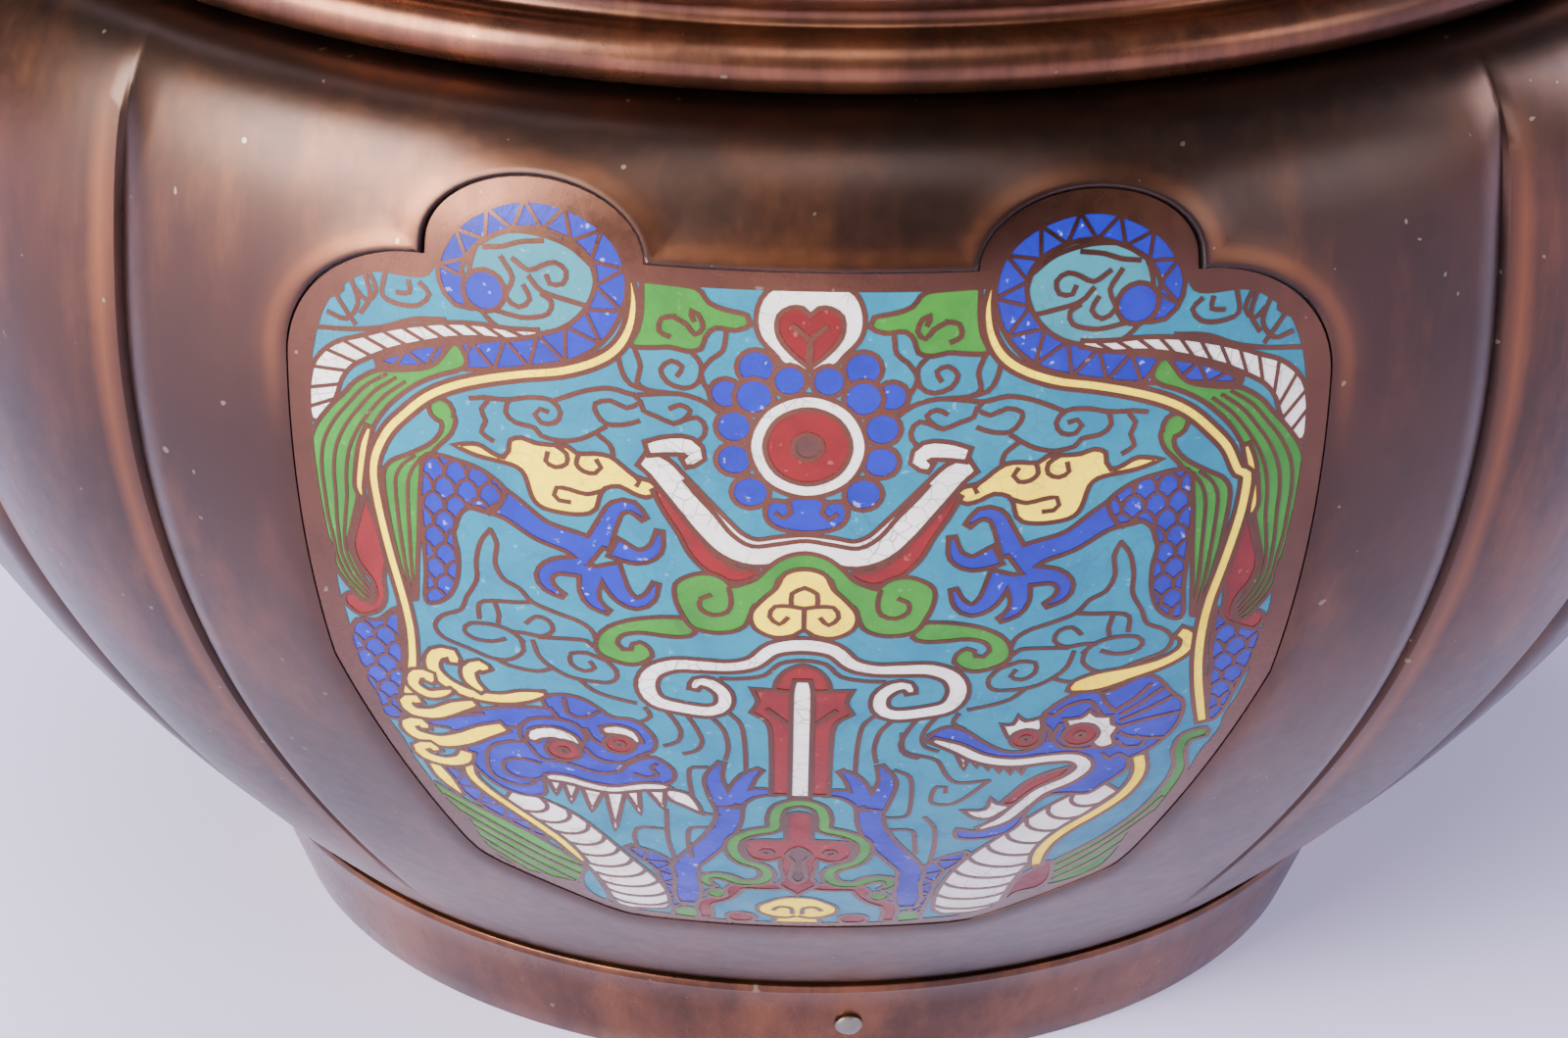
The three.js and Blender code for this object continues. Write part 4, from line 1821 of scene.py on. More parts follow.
@dataclass(frozen=True)
class Backdrop:
    """Smooth pale studio card under the pot."""

    name: str = "studio_card"
    colour: str = "e0dbff"
    shade: str = "d9d4fb"

    def build(self) -> bpy.types.Material:
        """Builds the material.

        Returns:
            The material.
        """
        material, tree, shader = surface(self.name)
        # The card's tone drifts a little over 300 mm.
        tone = grain(tree, texture_place(tree), 300.0, 0.3, 0.7)
        tree.links.new(lay(tree, linear(self.colour), tone, 0.15, self.shade), shader.inputs["Base Color"])
        shader.inputs["Roughness"].default_value = 0.75
        return material


@dataclass
class Studio:
    """The floor, the soft lights and the camera."""

    floor_half: float = 3.0
    distance: float = 1355.5
    elevation: float = 26.68
    roll: float = 1.14
    azimuth: float = 0.04
    target_side: float = -3.4
    target_height: float = 57.1
    lens: float = 180.0
    aim_height: float = 0.1
    sky: str = "d4d2f6"
    sky_strength: float = 0.15

    def floor(self) -> None:
        """Lays the floor under the foot."""
        mesh = bpy.data.meshes.new("floor")
        h = self.floor_half
        mesh.from_pydata([(-h, -h, 0), (h, -h, 0), (h, h, 0), (-h, h, 0)], [], [(0, 1, 2, 3)])
        mesh.materials.append(Backdrop().build())
        floor = bpy.data.objects.new("floor", mesh)
        bpy.context.scene.collection.objects.link(floor)

    def lamp(self, name: str, place: tuple, size: float, power: float, colour: str) -> None:
        """A square soft light that looks at the pot.

        Args:
            name: The light's name.
            place: Where it stands, in metres.
            size: Its side in metres.
            power: Its power in watts.
            colour: Its colour.
        """
        data = bpy.data.lights.new(name, "AREA")
        data.size = size
        data.energy = power
        data.color = linear(colour)[:3]
        lamp = bpy.data.objects.new(name, data)
        lamp.location = place
        aim = Vector((0, 0, self.aim_height)) - Vector(place)
        lamp.rotation_euler = aim.to_track_quat("-Z", "Y").to_euler()
        bpy.context.scene.collection.objects.link(lamp)

    def lights(self) -> None:
        """Sets the soft studio light."""
        self.lamp("key_left", (-1.2, -1.12, 0.66), 1.0, 122.0, "fffcfa")
        self.lamp("front_high", (0.1, -1.5, 1.7), 0.9, 14.0, "fbf8ff")
        self.lamp("fill_right", (1.4, -1.05, 0.5), 0.6, 9.0, "f6f4ff")
        self.lamp("edge_right", (1.8, 0.2, 0.8), 0.9, 42.0, "f0eeff")
        self.lamp("top", (-0.5, 0.5, 2.2), 1.5, 55.0, "eeecff")
        world = bpy.data.worlds.new("studio")
        world.use_nodes = True
        ground = world.node_tree.nodes["Background"]
        ground.inputs[0].default_value = linear(self.sky)
        ground.inputs[1].default_value = self.sky_strength
        bpy.context.scene.world = world

    def camera(self) -> None:
        """Sets the camera at the viewing angle, a long lens from above."""
        e, a, t = (math.radians(v) for v in (self.elevation, self.azimuth, self.roll))
        back = Vector((math.cos(e) * math.sin(a), -math.cos(e) * math.cos(a), math.sin(e)))
        right = Vector((math.cos(a), math.sin(a), 0))
        up = back.cross(right)
        rolled = right * math.cos(t) + up * math.sin(t)
        rolled_up = up * math.cos(t) - right * math.sin(t)
        eye = back * self.distance + Vector((0, 0, self.target_height)) + right * self.target_side
        data = bpy.data.cameras.new("camera")
        data.lens = self.lens
        data.sensor_width = 36.0
        data.clip_end = 20.0
        camera = bpy.data.objects.new("camera", data)
        axes = Matrix((rolled, rolled_up, back)).transposed().to_4x4()
        camera.matrix_world = Matrix.Translation(eye * MM) @ axes
        bpy.context.scene.collection.objects.link(camera)
        bpy.context.scene.camera = camera


FIELD_EDGE = [
    (0, 36.5), (17, 36.5), (20.5, 37.2), (25, 37.2), (28, 38.5), (31, 40), (33.5, 43), (35, 46), (37, 47),
    (44.5, 48.5), (47.5, 50.5), (50, 54.5), (52, 60), (53.5, 66), (57, 71.5), (59, 76), (60.5, 80),
    (62.5, 85), (64, 90), (66.8, 96), (67.5, 100), (69.5, 105), (70.8, 110), (71.5, 115), (72.3, 120),
    (73.3, 125), (73.8, 130), (75, 138), (76, 145), (76.7, 152), (77, 158), (77, 165), (76.5, 170),
    (75.5, 174.5), (73.5, 179), (70, 182.5), (66, 184.5), (60, 184.7), (57.5, 185.5), (56, 188.5),
    (54, 192), (51, 195.8), (47, 198), (43, 199.2), (38, 199.3), (33.5, 198), (30, 195.3), (28, 192),
    (26.9, 189), (25, 188.3), (25, 188.3), (0, 188.3),
]


@dataclass
class DragonDesign:
    """The panel's picture: two dragons, a pearl, clouds and scrolls, drawn in wall lines and enamel.

    Places are millimetres outwards from the middle and up from the bowl's foot. Most motifs stand on
    both sides of the middle, and only the two heads and necks differ.
    """

    wire: float = 0.8
    fine_wire: float = 0.6
    sketch: Sketch = field(init=False)

    def __post_init__(self) -> None:
        """Starts the drawing."""
        self.sketch = Sketch(self.wire)

    def field_loop(self) -> np.ndarray:
        """The enamelled field's edge, the same on both sides of the middle."""
        half = Sketch.curve(FIELD_EDGE)
        return np.vstack((half[:-1], half[:0:-1] * (-1, 1)))

    @staticmethod
    def out(points: list, side: int) -> list:
        """Points moved to one side of the middle, -1 for the left."""
        return [(side * point[0], *point[1:]) for point in points]

    def wires(self, side: int, *paths: list) -> None:
        """Wall lines on one side."""
        for path in paths:
            self.sketch.wire(self.out(path, side))

    def cells(self, side: int, tint: Tint, *outlines: list) -> list[np.ndarray]:
        """Cells on one side."""
        return self.sketch.cells(tint, *[self.out(outline, side) for outline in outlines])

    def ribbons(self, side: int, tint: Tint, *centres: list) -> list[np.ndarray]:
        """Bands on one side."""
        return self.sketch.ribbons(tint, *[self.out(centre, side) for centre in centres])

    @staticmethod
    def whole(half: list) -> list:
        """A path that starts in the middle, run on through its mirror image."""
        return [(-point[0], *point[1:]) for point in half[:0:-1]] + half

    @staticmethod
    def closed(half: list) -> list:
        """A closed outline from its right half, whose points in the middle are kept once."""
        return half + [(-x, s) for x, s in half[::-1] if x]

    def clouds(self, side: int) -> None:
        """Cloud scrolls in the turquoise ground.

        Args:
            side: -1 for the left, 1 for the right.
        """
        upper = (
            [(48, 167), (45, 167.2), (42, 168), (38.5, 168), (37, 166), (38, 164.2), (40, 164), (41, 165.3),
             (40.2, 166.3), (39, 166)],
            [(51, 166.5), (48, 167), (49.3, 165), (48.6, 163), (49.3, 161), (47.5, 159.8)],
            [(45, 167.2), (45.5, 165), (44, 163.5), (41, 163), (40, 161.8), (37, 161.3), (34, 162),
             (31.5, 163.5), (30.2, 164.5)],
            [(38, 168), (36, 169), (33, 170.3), (29.5, 171), (26, 170.3), (23, 170.7), (19, 171),
             (15.5, 170), (13.5, 168.5)],
            [(26, 170.3), (25, 169.3), (27, 168), (29.5, 169), (31.8, 168.2), (31.5, 166.5), (30, 165),
             (27.2, 165.2), (25.2, 166)],
            [(25, 169.3), (24.5, 167.8), (22.5, 167), (20, 166), (18.5, 166.8), (17.5, 168.3), (19, 169.2),
             (20.5, 168.5)],
            [(20, 166), (16.5, 167.3), (15.2, 165.5), (16, 163.5), (18.5, 163)],
            [(31.8, 163.4), (29.5, 161.5), (29, 159.8)],
            [(18, 178.5), (16, 176), (16.5, 173), (18.5, 172), (21, 172.8), (22, 174.8), (20.5, 176.3),
             (18.8, 175.5), (19.5, 174)],
            [(28.5, 177.2), (27.8, 174), (26.5, 172), (24, 171.3)],
            [(26, 178), (25, 175), (25.5, 172.5), (24, 171.3), (20, 171)],
            [(12.3, 182), (12.8, 178.5), (14.5, 177), (16, 174.5), (15, 172), (13.8, 171)],
        )
        lower = (
            [(48, 143.5), (49.5, 141), (50.3, 137), (50.3, 133), (52, 129), (53, 126), (56, 124),
             (57.3, 121.5), (56, 119), (52, 117.5), (48, 116), (45, 116.5), (43, 119), (43.5, 121.5)],
            [(48, 143.5), (47, 141), (47.3, 137), (46, 134), (43.5, 132.5), (41.5, 130), (38, 128.5),
             (34, 127), (32, 125), (31.5, 121.5), (33, 123), (36, 123), (40.5, 122.5)],
            [(50, 124.8), (50, 128), (48, 129), (44, 129.5), (41.5, 130)],
            [(47.5, 129), (46.8, 126), (47, 124.5)],
            [(42.5, 125.3), (41, 127), (39, 126.5), (38.3, 124.5), (40, 122.8), (43, 123), (45, 122.8)],
            [(46, 121), (48, 120), (51, 120), (52.5, 121.5), (51.5, 123.3), (48, 123.8), (45, 123),
             (43, 121)],
            [(41.5, 121.5), (40.5, 118), (38, 115.5), (35, 114), (30, 113.8), (28.5, 115), (28.5, 117),
             (30, 119)],
            [(33, 120.3), (35.5, 119.8), (35.5, 117.3), (33.5, 116), (31.8, 117), (32.5, 118.3)],
            [(30, 119), (33, 120.3)],
            [(34, 113.5), (32, 111.5), (29, 110.3), (25.5, 109.5)],
            [(47.5, 116), (45, 114.8), (41, 114.5), (38.5, 115.7)],
        )
        self.wires(side, *upper, *lower)

    def steps(self, side: int) -> None:
        """Stepped lines that hang round the staff.

        Args:
            side: -1 for the left, 1 for the right.
        """
        self.wires(
            side,
            [(11, 108.6), (9.3, 106), (8.6, 100), (8.4, 92)],
            [(14, 107.6), (12, 104.5), (11.2, 100), (11.6, 96.4)],
            [(17.5, 107.4), (16.2, 104.5), (15.2, 101), (16, 98.4), (18, 97.2)],
            [(21, 108.5), (19.5, 106), (18.5, 103), (19, 100.4), (21, 99)],
            [(24, 108.5), (23.2, 106.4), (25, 104.6)],
        )

    def hump(self, side: int) -> None:
        """The light teal disc in the hump and its small waves.

        Args:
            side: -1 for the left, 1 for the right.
        """
        self.sketch.discs(Tint.TEAL, (side * 41.5, 187.0, 9.7))
        self.wires(
            side,
            [(49.5, 191.8), (46, 194), (41, 194.3), (36, 193), (32.6, 190.4)],
            [(49, 191.2), (46, 191.7), (43.5, 192.7), (40, 193.3)],
            [(44.5, 190), (42, 188.5), (40, 189.5), (38, 190.2), (36.3, 189), (36.8, 187), (38.8, 186.8),
             (39.3, 188)],
            [(46.3, 190), (44.5, 187), (45.5, 184), (43.5, 182.5), (41.8, 184), (42.8, 186)],
            [(47, 181.5), (44, 181), (42, 181), (39, 182), (38.5, 184), (40, 185)],
            [(33.5, 184), (36, 184.5), (40, 185.5), (42, 187.5)],
        )
        self.wires(
            side,
            [(64.5, 184.8), (65, 181), (62, 180), (59, 180.5), (57.5, 182.5), (59, 184)],
            [(70.5, 183.4), (69, 179), (71, 176), (74, 176.5)],
            [(68, 184.2), (67, 180.5), (68.5, 177.5)],
            [(73.6, 181), (71.5, 178), (69.5, 175.5)],
            [(67, 184), (66, 181.5), (67.5, 179.6), (69.2, 181)],
            [(60.8, 184), (60.6, 182.2), (62.6, 181.8)],
            [(72, 182.8), (71.6, 180.6), (73.4, 179.4)],
            [(76, 173.6), (70, 174.5), (65, 175.8), (60, 178), (55, 178.8)],
        )

    def tail(self, side: int) -> None:
        """The dragon's scaled tail, curled round the teal disc, and the white rope below it.

        Args:
            side: -1 for the left, 1 for the right.
        """
        path = self.out([
            (49, 184.6, 5.6), (52.5, 183.6, 4.6), (54.3, 187, 3.8), (52.2, 191.8, 3.8), (48.3, 195, 4.0),
            (43, 197, 4.2), (38, 196.8, 4.2), (33.5, 195, 4.4), (30.5, 192, 4.6), (29.5, 188, 4.8),
            (30.3, 184, 5.0), (32.5, 180.3, 5.2), (36, 177.5, 5.2), (41, 175.8, 5.0), (47, 174.3, 4.8),
            (53, 173.2, 4.2), (58, 172.3, 3.4), (62, 171, 2.4), (66, 169.8, 0.8),
        ], side)
        loop = self.sketch.ribbons(Tint.BLUE, path)[0]
        self.sketch.zigzag(path, 2.7, loop, self.fine_wire)
        self.sketch.discs(Tint.BLUE, (side * 48.9, 184.4, 3.3))
        rope = self.out([
            (40.5, 178.8, 0.9), (45, 178, 1.8), (50, 177.8, 2.2), (55, 177, 2.6), (60, 175.5, 3.0),
            (64, 174, 3.2), (68, 172, 3.6), (71.5, 170, 4.4), (74, 167, 5.0), (75, 163.5, 4.8),
            (75.8, 160, 3.5), (76.2, 157.5, 2.0),
        ], side)
        loop = self.sketch.ribbons(Tint.WHITE, rope)[0]
        self.sketch.ribs(rope, 3.4, -1.6, loop, self.fine_wire)

    def outer_fin(self, side: int) -> None:
        """The long green fin along the outside of the body.

        Args:
            side: -1 for the left, 1 for the right.
        """
        outer = [
            (53.5, 175.3), (57, 171), (62, 169.3), (66, 168.5), (69.5, 166), (71.5, 163.5), (74, 160.5),
            (76.5, 156.5), (77.6, 152), (77.2, 146), (75.8, 138), (74.4, 134), (73.8, 130), (71.4, 126),
            (68.5, 123.5),
        ]
        inner = [
            (51.5, 172.5), (53, 170.8), (56, 169.5), (60, 167), (64, 163), (66.5, 159), (68.3, 155),
            (69.2, 150), (69.5, 145), (70.5, 140), (71.2, 135), (69, 129), (67.3, 126),
        ]
        loop = self.cells(side, Tint.GREEN, outer + inner[::-1])[0]
        self.sketch.stripes(self.out(outer[3:], side), self.out(inner[3:], side), 3, loop, self.fine_wire)
        self.ribbons(side, Tint.YELLOW, [
            (67.3, 158.5, 1.2), (68.3, 155, 1.7), (69, 150, 1.7), (69.2, 147, 1.5), (68.7, 145.3, 0.9),
        ])

    def flame(self, side: int) -> None:
        """The red flame that licks out between the fin and the body.

        Args:
            side: -1 for the left, 1 for the right.
        """
        left = [
            (68.3, 145), (69.5, 141), (70.6, 136), (70, 132.5), (68.5, 130), (67.5, 128.5), (67, 125.5),
            (68, 123.5), (69.5, 123.8), (71, 125), (72.5, 124), (72.3, 122), (70, 120.3), (68, 121),
            (66, 123), (65.3, 126), (65.5, 130), (65, 134), (65.5, 138), (67, 142),
        ]
        self.cells(side, Tint.RED, left)

    def inner_fin(self, side: int) -> None:
        """The shorter green fin inside the yellow stripe, with its ball tip.

        Args:
            side: -1 for the left, 1 for the right.
        """
        outer = [
            (57.2, 163), (55.7, 161.8), (55.7, 160), (57.5, 157.5), (61, 155), (64, 153), (65.2, 150),
            (64.4, 142), (63.4, 136), (62.4, 131), (61.3, 126),
        ]
        inner = [
            (53.5, 163), (54, 160), (56, 157.5), (58, 154.5), (59, 151), (59.3, 146), (59.5, 140),
            (59.8, 135), (60, 130), (60.2, 126.5),
        ]
        ball = [(53.6, 162.8), (54.2, 165), (56, 165.7), (57.6, 164.6), (57.2, 162.6), (55.4, 161.6)]
        loops = self.cells(side, Tint.GREEN, outer + inner[::-1], ball)
        self.sketch.stripes(
            self.out(outer[4:], side), self.out(inner[3:], side), 2, loops[0], self.fine_wire,
        )

    def body(self, side: int) -> None:
        """The scaled body beside the fin, with the upper arm and its claw.

        Args:
            side: -1 for the left, 1 for the right.
        """
        column = [
            (58, 155.5), (59, 151), (59.2, 146), (58.8, 140), (58.5, 133), (58.8, 128), (58.3, 126.2),
            (56.5, 126.8), (54.5, 129), (53.3, 133), (53.2, 138), (53.8, 142), (52.5, 146), (50, 147.4),
            (47.6, 146.8), (45.6, 151), (48, 153.6), (52, 155.2),
        ]
        arm = [(49.5, 150.2, 7), (45, 148.2, 4.7), (40, 144.7, 4.0), (35, 143, 4.4), (31.5, 141, 6.4)]
        fingers = (
            [(31.4, 143, 4.0), (29.8, 147.5, 3.0), (28.4, 150.4, 2.6), (26, 150.8, 2.0),
             (24.2, 148.8, 0.9)],
            [(29, 143, 4.0), (25.2, 141.6, 2.8), (22.6, 143.2, 2.3), (21.9, 146.8, 1.0)],
            [(30, 139.5, 4.2), (27.8, 134, 3.2), (25.4, 132.2, 2.5), (23.4, 133.6, 2.0),
             (22.4, 136.6, 1.0)],
            [(32, 139, 4.2), (32.6, 133.6, 3.0), (31.6, 131.2, 2.2), (29.6, 129.8, 0.9)],
            [(33, 138.6, 4.2), (37.8, 138, 3.0), (39.6, 135.8, 2.6), (38.8, 133.6, 2.0),
             (36.6, 132.2, 0.9)],
        )
        self.wires(side, [(53.8, 142), (52.5, 146), (50, 147.4), (48, 146.4)])
        self.ribbons(side, Tint.BLUE, arm, *fingers)
        loop = self.cells(side, Tint.BLUE, column)[0]
        self.sketch.scales(loop, 3.6, 3.2, self.fine_wire)

    def lower_body(self, side: int) -> None:
        """The scaled piece of the body outside the stripe, lower down.

        Args:
            side: -1 for the left, 1 for the right.
        """
        left = [
            (70.5, 119), (67, 120), (64.5, 123), (63.3, 124), (63.2, 119), (62.9, 113), (63, 108),
            (63.3, 104), (62.8, 101), (62.5, 98), (64, 95.2), (66.8, 95.2), (68.4, 100), (69.6, 104),
            (71, 110), (71.8, 115),
        ]
        right = [
            (64.5, 127), (66, 124), (70.5, 121), (72.4, 120), (71, 113), (69.6, 109), (68.4, 105),
            (67, 101), (65, 99), (64.4, 103), (64.2, 112), (64, 120),
        ]
        loop = self.cells(side, Tint.BLUE, left if side < 0 else right)[0]
        self.sketch.scales(loop, 3.8, 3.4, self.fine_wire)

    def stripe(self, side: int) -> None:
        """The long yellow stripe from the hump down the body.

        Args:
            side: -1 for the left, 1 for the right.
        """
        top = [
            (26.6, 188.6, 0.8), (26.2, 185, 1.5), (26.8, 181, 1.8), (28.7, 177.5, 2.0), (32, 175, 2.0),
            (37, 173, 2.0), (43, 171.7, 2.0), (49, 170, 2.0), (54, 168, 2.0), (58, 165.5, 2.0),
            (61.5, 162, 2.0), (64.3, 158.5, 2.0), (66.3, 154, 2.0),
        ]
        left = [
            (66.8, 150, 2.0), (66.2, 145, 2.0), (65.3, 140, 2.0), (64.3, 135, 2.0), (63.2, 130, 2.0),
            (62.2, 125, 2.0), (61.5, 120, 2.0), (61.3, 115, 2.0), (61.5, 110, 2.1), (62.3, 104, 2.2),
            (62.6, 102, 2.0),
        ]
        right = [
            (67.8, 153, 2.2), (67.3, 147, 2.2), (66, 141, 2.2), (64.5, 135, 2.2), (63, 129, 2.2),
            (62.2, 123, 2.2), (62, 117, 2.2), (62.3, 111, 2.2), (63, 105, 2.2), (63.8, 99, 2.0),
        ]
        self.ribbons(side, Tint.YELLOW, top + (left if side < 0 else right))

    def flame_cloud(self, side: int) -> None:
        """The yellow cloud with a flame's tip.

        Args:
            side: -1 for the left, 1 for the right.
        """
        self.cells(side, Tint.YELLOW, [
            (53.8, 158), (53.8, 158), (50, 158.8), (47.5, 157.6), (45.8, 157.2), (45, 158.5),
            (44.8, 160.3), (43, 161), (41, 160.4), (38.5, 160.4), (36, 160.5), (34.4, 159.4), (32, 159.7),
            (29.5, 159.5), (27.5, 158), (25.6, 156.4), (23.3, 155.8), (22.2, 154.8), (22.5, 153.4),
            (24, 152.8), (26, 153.4), (28, 154.4), (30.2, 153.8), (31, 152.3), (31.5, 150), (32.5, 149),
            (34.5, 148.5), (37, 148.5), (39.5, 148.9), (41, 150), (41.8, 152), (42.5, 154.5),
            (43.8, 155.8), (46, 156.3), (50, 156.8),
        ])
        self.wires(
            side,
            [(37.6, 160.3), (36.1, 159.2), (36.1, 157.4), (37.8, 156.6), (39.3, 157.5), (39, 159)],
            [(34.2, 159.4), (34.6, 157.6), (33.4, 156.4), (31.7, 156.3), (30.8, 157.4), (31.5, 158.6)],
            [(30.4, 153.4), (33, 152.4), (35.5, 152.9), (37.6, 153), (38, 151.6), (37.2, 150.7),
             (35.6, 150.6)],
            [(25.8, 156.6), (25, 155.6), (25.4, 154.8)],
        )

    def green_cloud(self, side: int) -> None:
        """The green cloud beside the heart.

        Args:
            side: -1 for the left, 1 for the right.
        """
        self.cells(side, Tint.GREEN, [
            (25, 188.8), (25, 188.8), (17, 188.2), (15, 186), (12.5, 185), (9.3, 184.3), (8.8, 182.8),
            (11, 181.8), (14, 182), (15.4, 180.5), (16, 178.6), (18, 178), (20.5, 178.5), (23.5, 178.2),
            (26.5, 178.3), (25.5, 181), (25, 184),
        ])
        self.wires(
            side,
            [(20, 183.5), (22, 183), (22.3, 181), (20.8, 180.2)],
            [(20, 183.3), (18.2, 182.3), (17, 180.8), (15.8, 182), (16.5, 184), (17.8, 184.6), (17.2, 183)],
        )

    def heart_and_pearl(self) -> None:
        """The red heart in white, and the pearl in its ring of blue petals over a lotus."""
        halo = [(3, 189.5), (6.6, 188), (8, 184.5), (7.5, 181), (5, 178), (3.5, 176.3), (0, 175.6)]
        self.sketch.cells(Tint.WHITE, self.closed(halo))
        heart = [
            (0, 184.6), (0, 184.6), (1.2, 185.7), (3, 185.7), (4.7, 184.4), (4.9, 182), (4, 180),
            (2, 177.8), (0, 176.2), (0, 176.2),
        ]
        self.sketch.cells(Tint.RED, self.closed(heart))
        for side in SIDES:
            self.wires(side, [(0, 176.4), (0, 180.4), (2.5, 182.8)])
        petals = (
            (2.9, 174.0, 2.6), (7.9, 176.0, 2.9), (12.3, 171.5, 2.5), (8.1, 171.2, 3.0),
            (11.0, 166.1, 2.8), (10.9, 160.5, 2.8), (8.4, 154.9, 2.9),
        )
        for side in SIDES:
            for x, s, radius in petals:
                self.sketch.discs(Tint.BLUE, (side * x, s, radius))
        lotus = [
            (0, 154.9), (2, 154), (3.2, 153.4), (5.2, 153.6), (6.2, 151.8), (5.6, 149.6), (3.6, 148.3),
            (0, 147.8),
        ]
        self.sketch.cells(Tint.BLUE, self.closed(lotus))
        for side in SIDES:
            self.wires(side, [(2.9, 153.4), (2.3, 151.4), (3.4, 150.4), (4.5, 151.2)])
        for tint, radius in ((Tint.WHITE, 8.8), (Tint.RED, 6.4), (Tint.DARK, 2.2)):
            self.sketch.discs(tint, (0, 163, radius))

    def ribbon_knot(self) -> None:
        """The white double ribbon under the pearl with the red one behind it."""
        for side in SIDES:
            self.ribbons(side, Tint.RED, [
                (22.4, 154.6, 1.6), (20.2, 151.3, 2.8), (17.9, 147.5, 3.0), (15.9, 143.5, 3.2),
                (13, 140.5, 3.4), (10, 139.2, 2.8), (7, 140, 1.2),
            ])
        self.sketch.ribbons(Tint.WHITE, self.whole([
            (0, 144.9, 5.0), (3.5, 144.5, 5.0), (7.5, 143.7, 5.2), (11, 145.1, 5.4), (14, 148.3, 5.4),
            (17, 152.1, 5.0), (19.8, 155.6, 4.6), (22, 158.2, 4.2), (24.6, 159.8, 3.0),
        ]))
        for side in SIDES:
            self.ribbons(side, Tint.WHITE, [
                (24, 161.4, 2.4), (21, 162.2, 3.0), (17.8, 162.3, 3.2), (16.6, 160.6, 2.8),
                (18.4, 159.4, 1.6),
            ])
        self.sketch.wire(self.whole([
            (0, 146.3), (4, 145.6), (8, 145), (11, 147), (13.6, 150.6), (16.4, 154), (18.2, 156.4),
        ]))

    def green_scroll(self) -> None:
        """The green cloud head over the trefoil, with an arm on each side."""
        for side in SIDES:
            self.cells(side, Tint.GREEN, [
                (17.8, 129.7), (20.5, 129.9), (22.8, 129.6), (25.2, 129), (27.5, 128.1), (29.8, 126.6),
                (31.3, 124.5), (31.7, 122), (30.8, 120.2), (28.1, 118.9), (25.8, 118.7), (23.9, 119.7),
                (22.9, 121), (23.4, 122.9), (24.8, 124), (26, 123.4), (26.2, 122.2), (27.4, 122),
                (28.3, 123.2), (27.6, 125), (25, 126), (21.6, 125.8), (18.4, 125.8), (16.4, 126.9),
            ])
        half = [
            (0, 144), (3, 143.2), (5.4, 141.2), (7.4, 138.7), (9.3, 137.6), (11, 137), (11.9, 138.2),
            (13.4, 139.1), (15.5, 139.3), (17.7, 138.5), (19.5, 136.8), (19.5, 133.9), (18.5, 130.9),
            (16.9, 128.1), (14, 127.2), (11.1, 127.5), (8.9, 128.9), (8.1, 131.5), (7.5, 133.3),
            (5.8, 134.2), (4.6, 136.2), (4, 138.6), (2.2, 140), (0, 140.6),
        ]
        self.sketch.cells(Tint.GREEN, self.closed(half))
        for side in SIDES:
            self.wires(side, [
                (14.2, 135), (15.6, 134.2), (15.7, 132.2), (13.8, 130.9), (11.6, 131.7), (11, 133.9),
                (11.4, 136.6),
            ])

    def trefoil(self) -> None:
        """The yellow trefoil in the middle."""
        half = [
            (0, 140.9), (3, 139.9), (4.3, 137), (6.3, 134.6), (8, 131.7), (7.4, 128.6), (4.5, 126.8),
            (1.5, 127.3), (0, 128.6),
        ]
        self.sketch.cells(Tint.YELLOW, self.closed(half))
        for side in SIDES:
            self.wires(
                side,
                [(1.9, 133.3), (1.9, 136), (0, 137.2)],
                [(1.9, 133.4), (4.4, 133.3), (5.2, 131.2), (3.7, 129.6), (2.5, 131)],
                [(0, 133), (1.9, 133.4)],
            )
        self.sketch.wire([(0, 128.6), (0, 133)])

    def bracket(self) -> None:
        """The white bracket scroll over the staff."""
        self.sketch.wire(self.whole([(0, 121.8), (3.5, 121), (5.8, 118.2), (9.5, 117.2), (12.5, 117)]))
        self.sketch.ribbons(Tint.WHITE, self.whole([
            (0, 125.2, 3.2), (4.5, 124.2, 3.0), (7.5, 121, 2.8), (11, 119.8, 2.6), (15, 119.7, 2.8),
            (19.5, 119.5, 3.0), (22.8, 117.5, 3.2), (23.8, 114, 3.4), (22.3, 110.5, 3.2), (18, 109.2, 3.0),
            (14, 108.9, 3.0), (12, 110.5, 2.8), (12, 113.5, 2.7), (14, 115.7, 2.6), (16, 115.8, 2.2),
            (16.6, 114, 1.4),
        ]))

    def staff(self) -> None:
        """The red staff with its white core, the green-edged red trefoil and the scrolls at the foot."""
        half = [
            (0, 120.8), (2.5, 119.5), (4, 117), (4.3, 114.8), (4.3, 114.8), (7.8, 115), (7.8, 115),
            (6.8, 112), (7.8, 109.2), (7.8, 109.2), (5.2, 106.5), (4.6, 100), (4.5, 86.6), (4.5, 86.6),
        ]
        self.sketch.cells(Tint.RED, self.closed(half))
        self.sketch.ribbons(Tint.WHITE, [(0, 117.2, 2.4), (0, 114, 3.2), (0, 100, 3.2), (0, 86, 3.2)])
        for side in SIDES:
            self.wires(side, [(1.7, 114.6), (4.3, 114.8)], [(2, 106.4), (5.2, 110)])

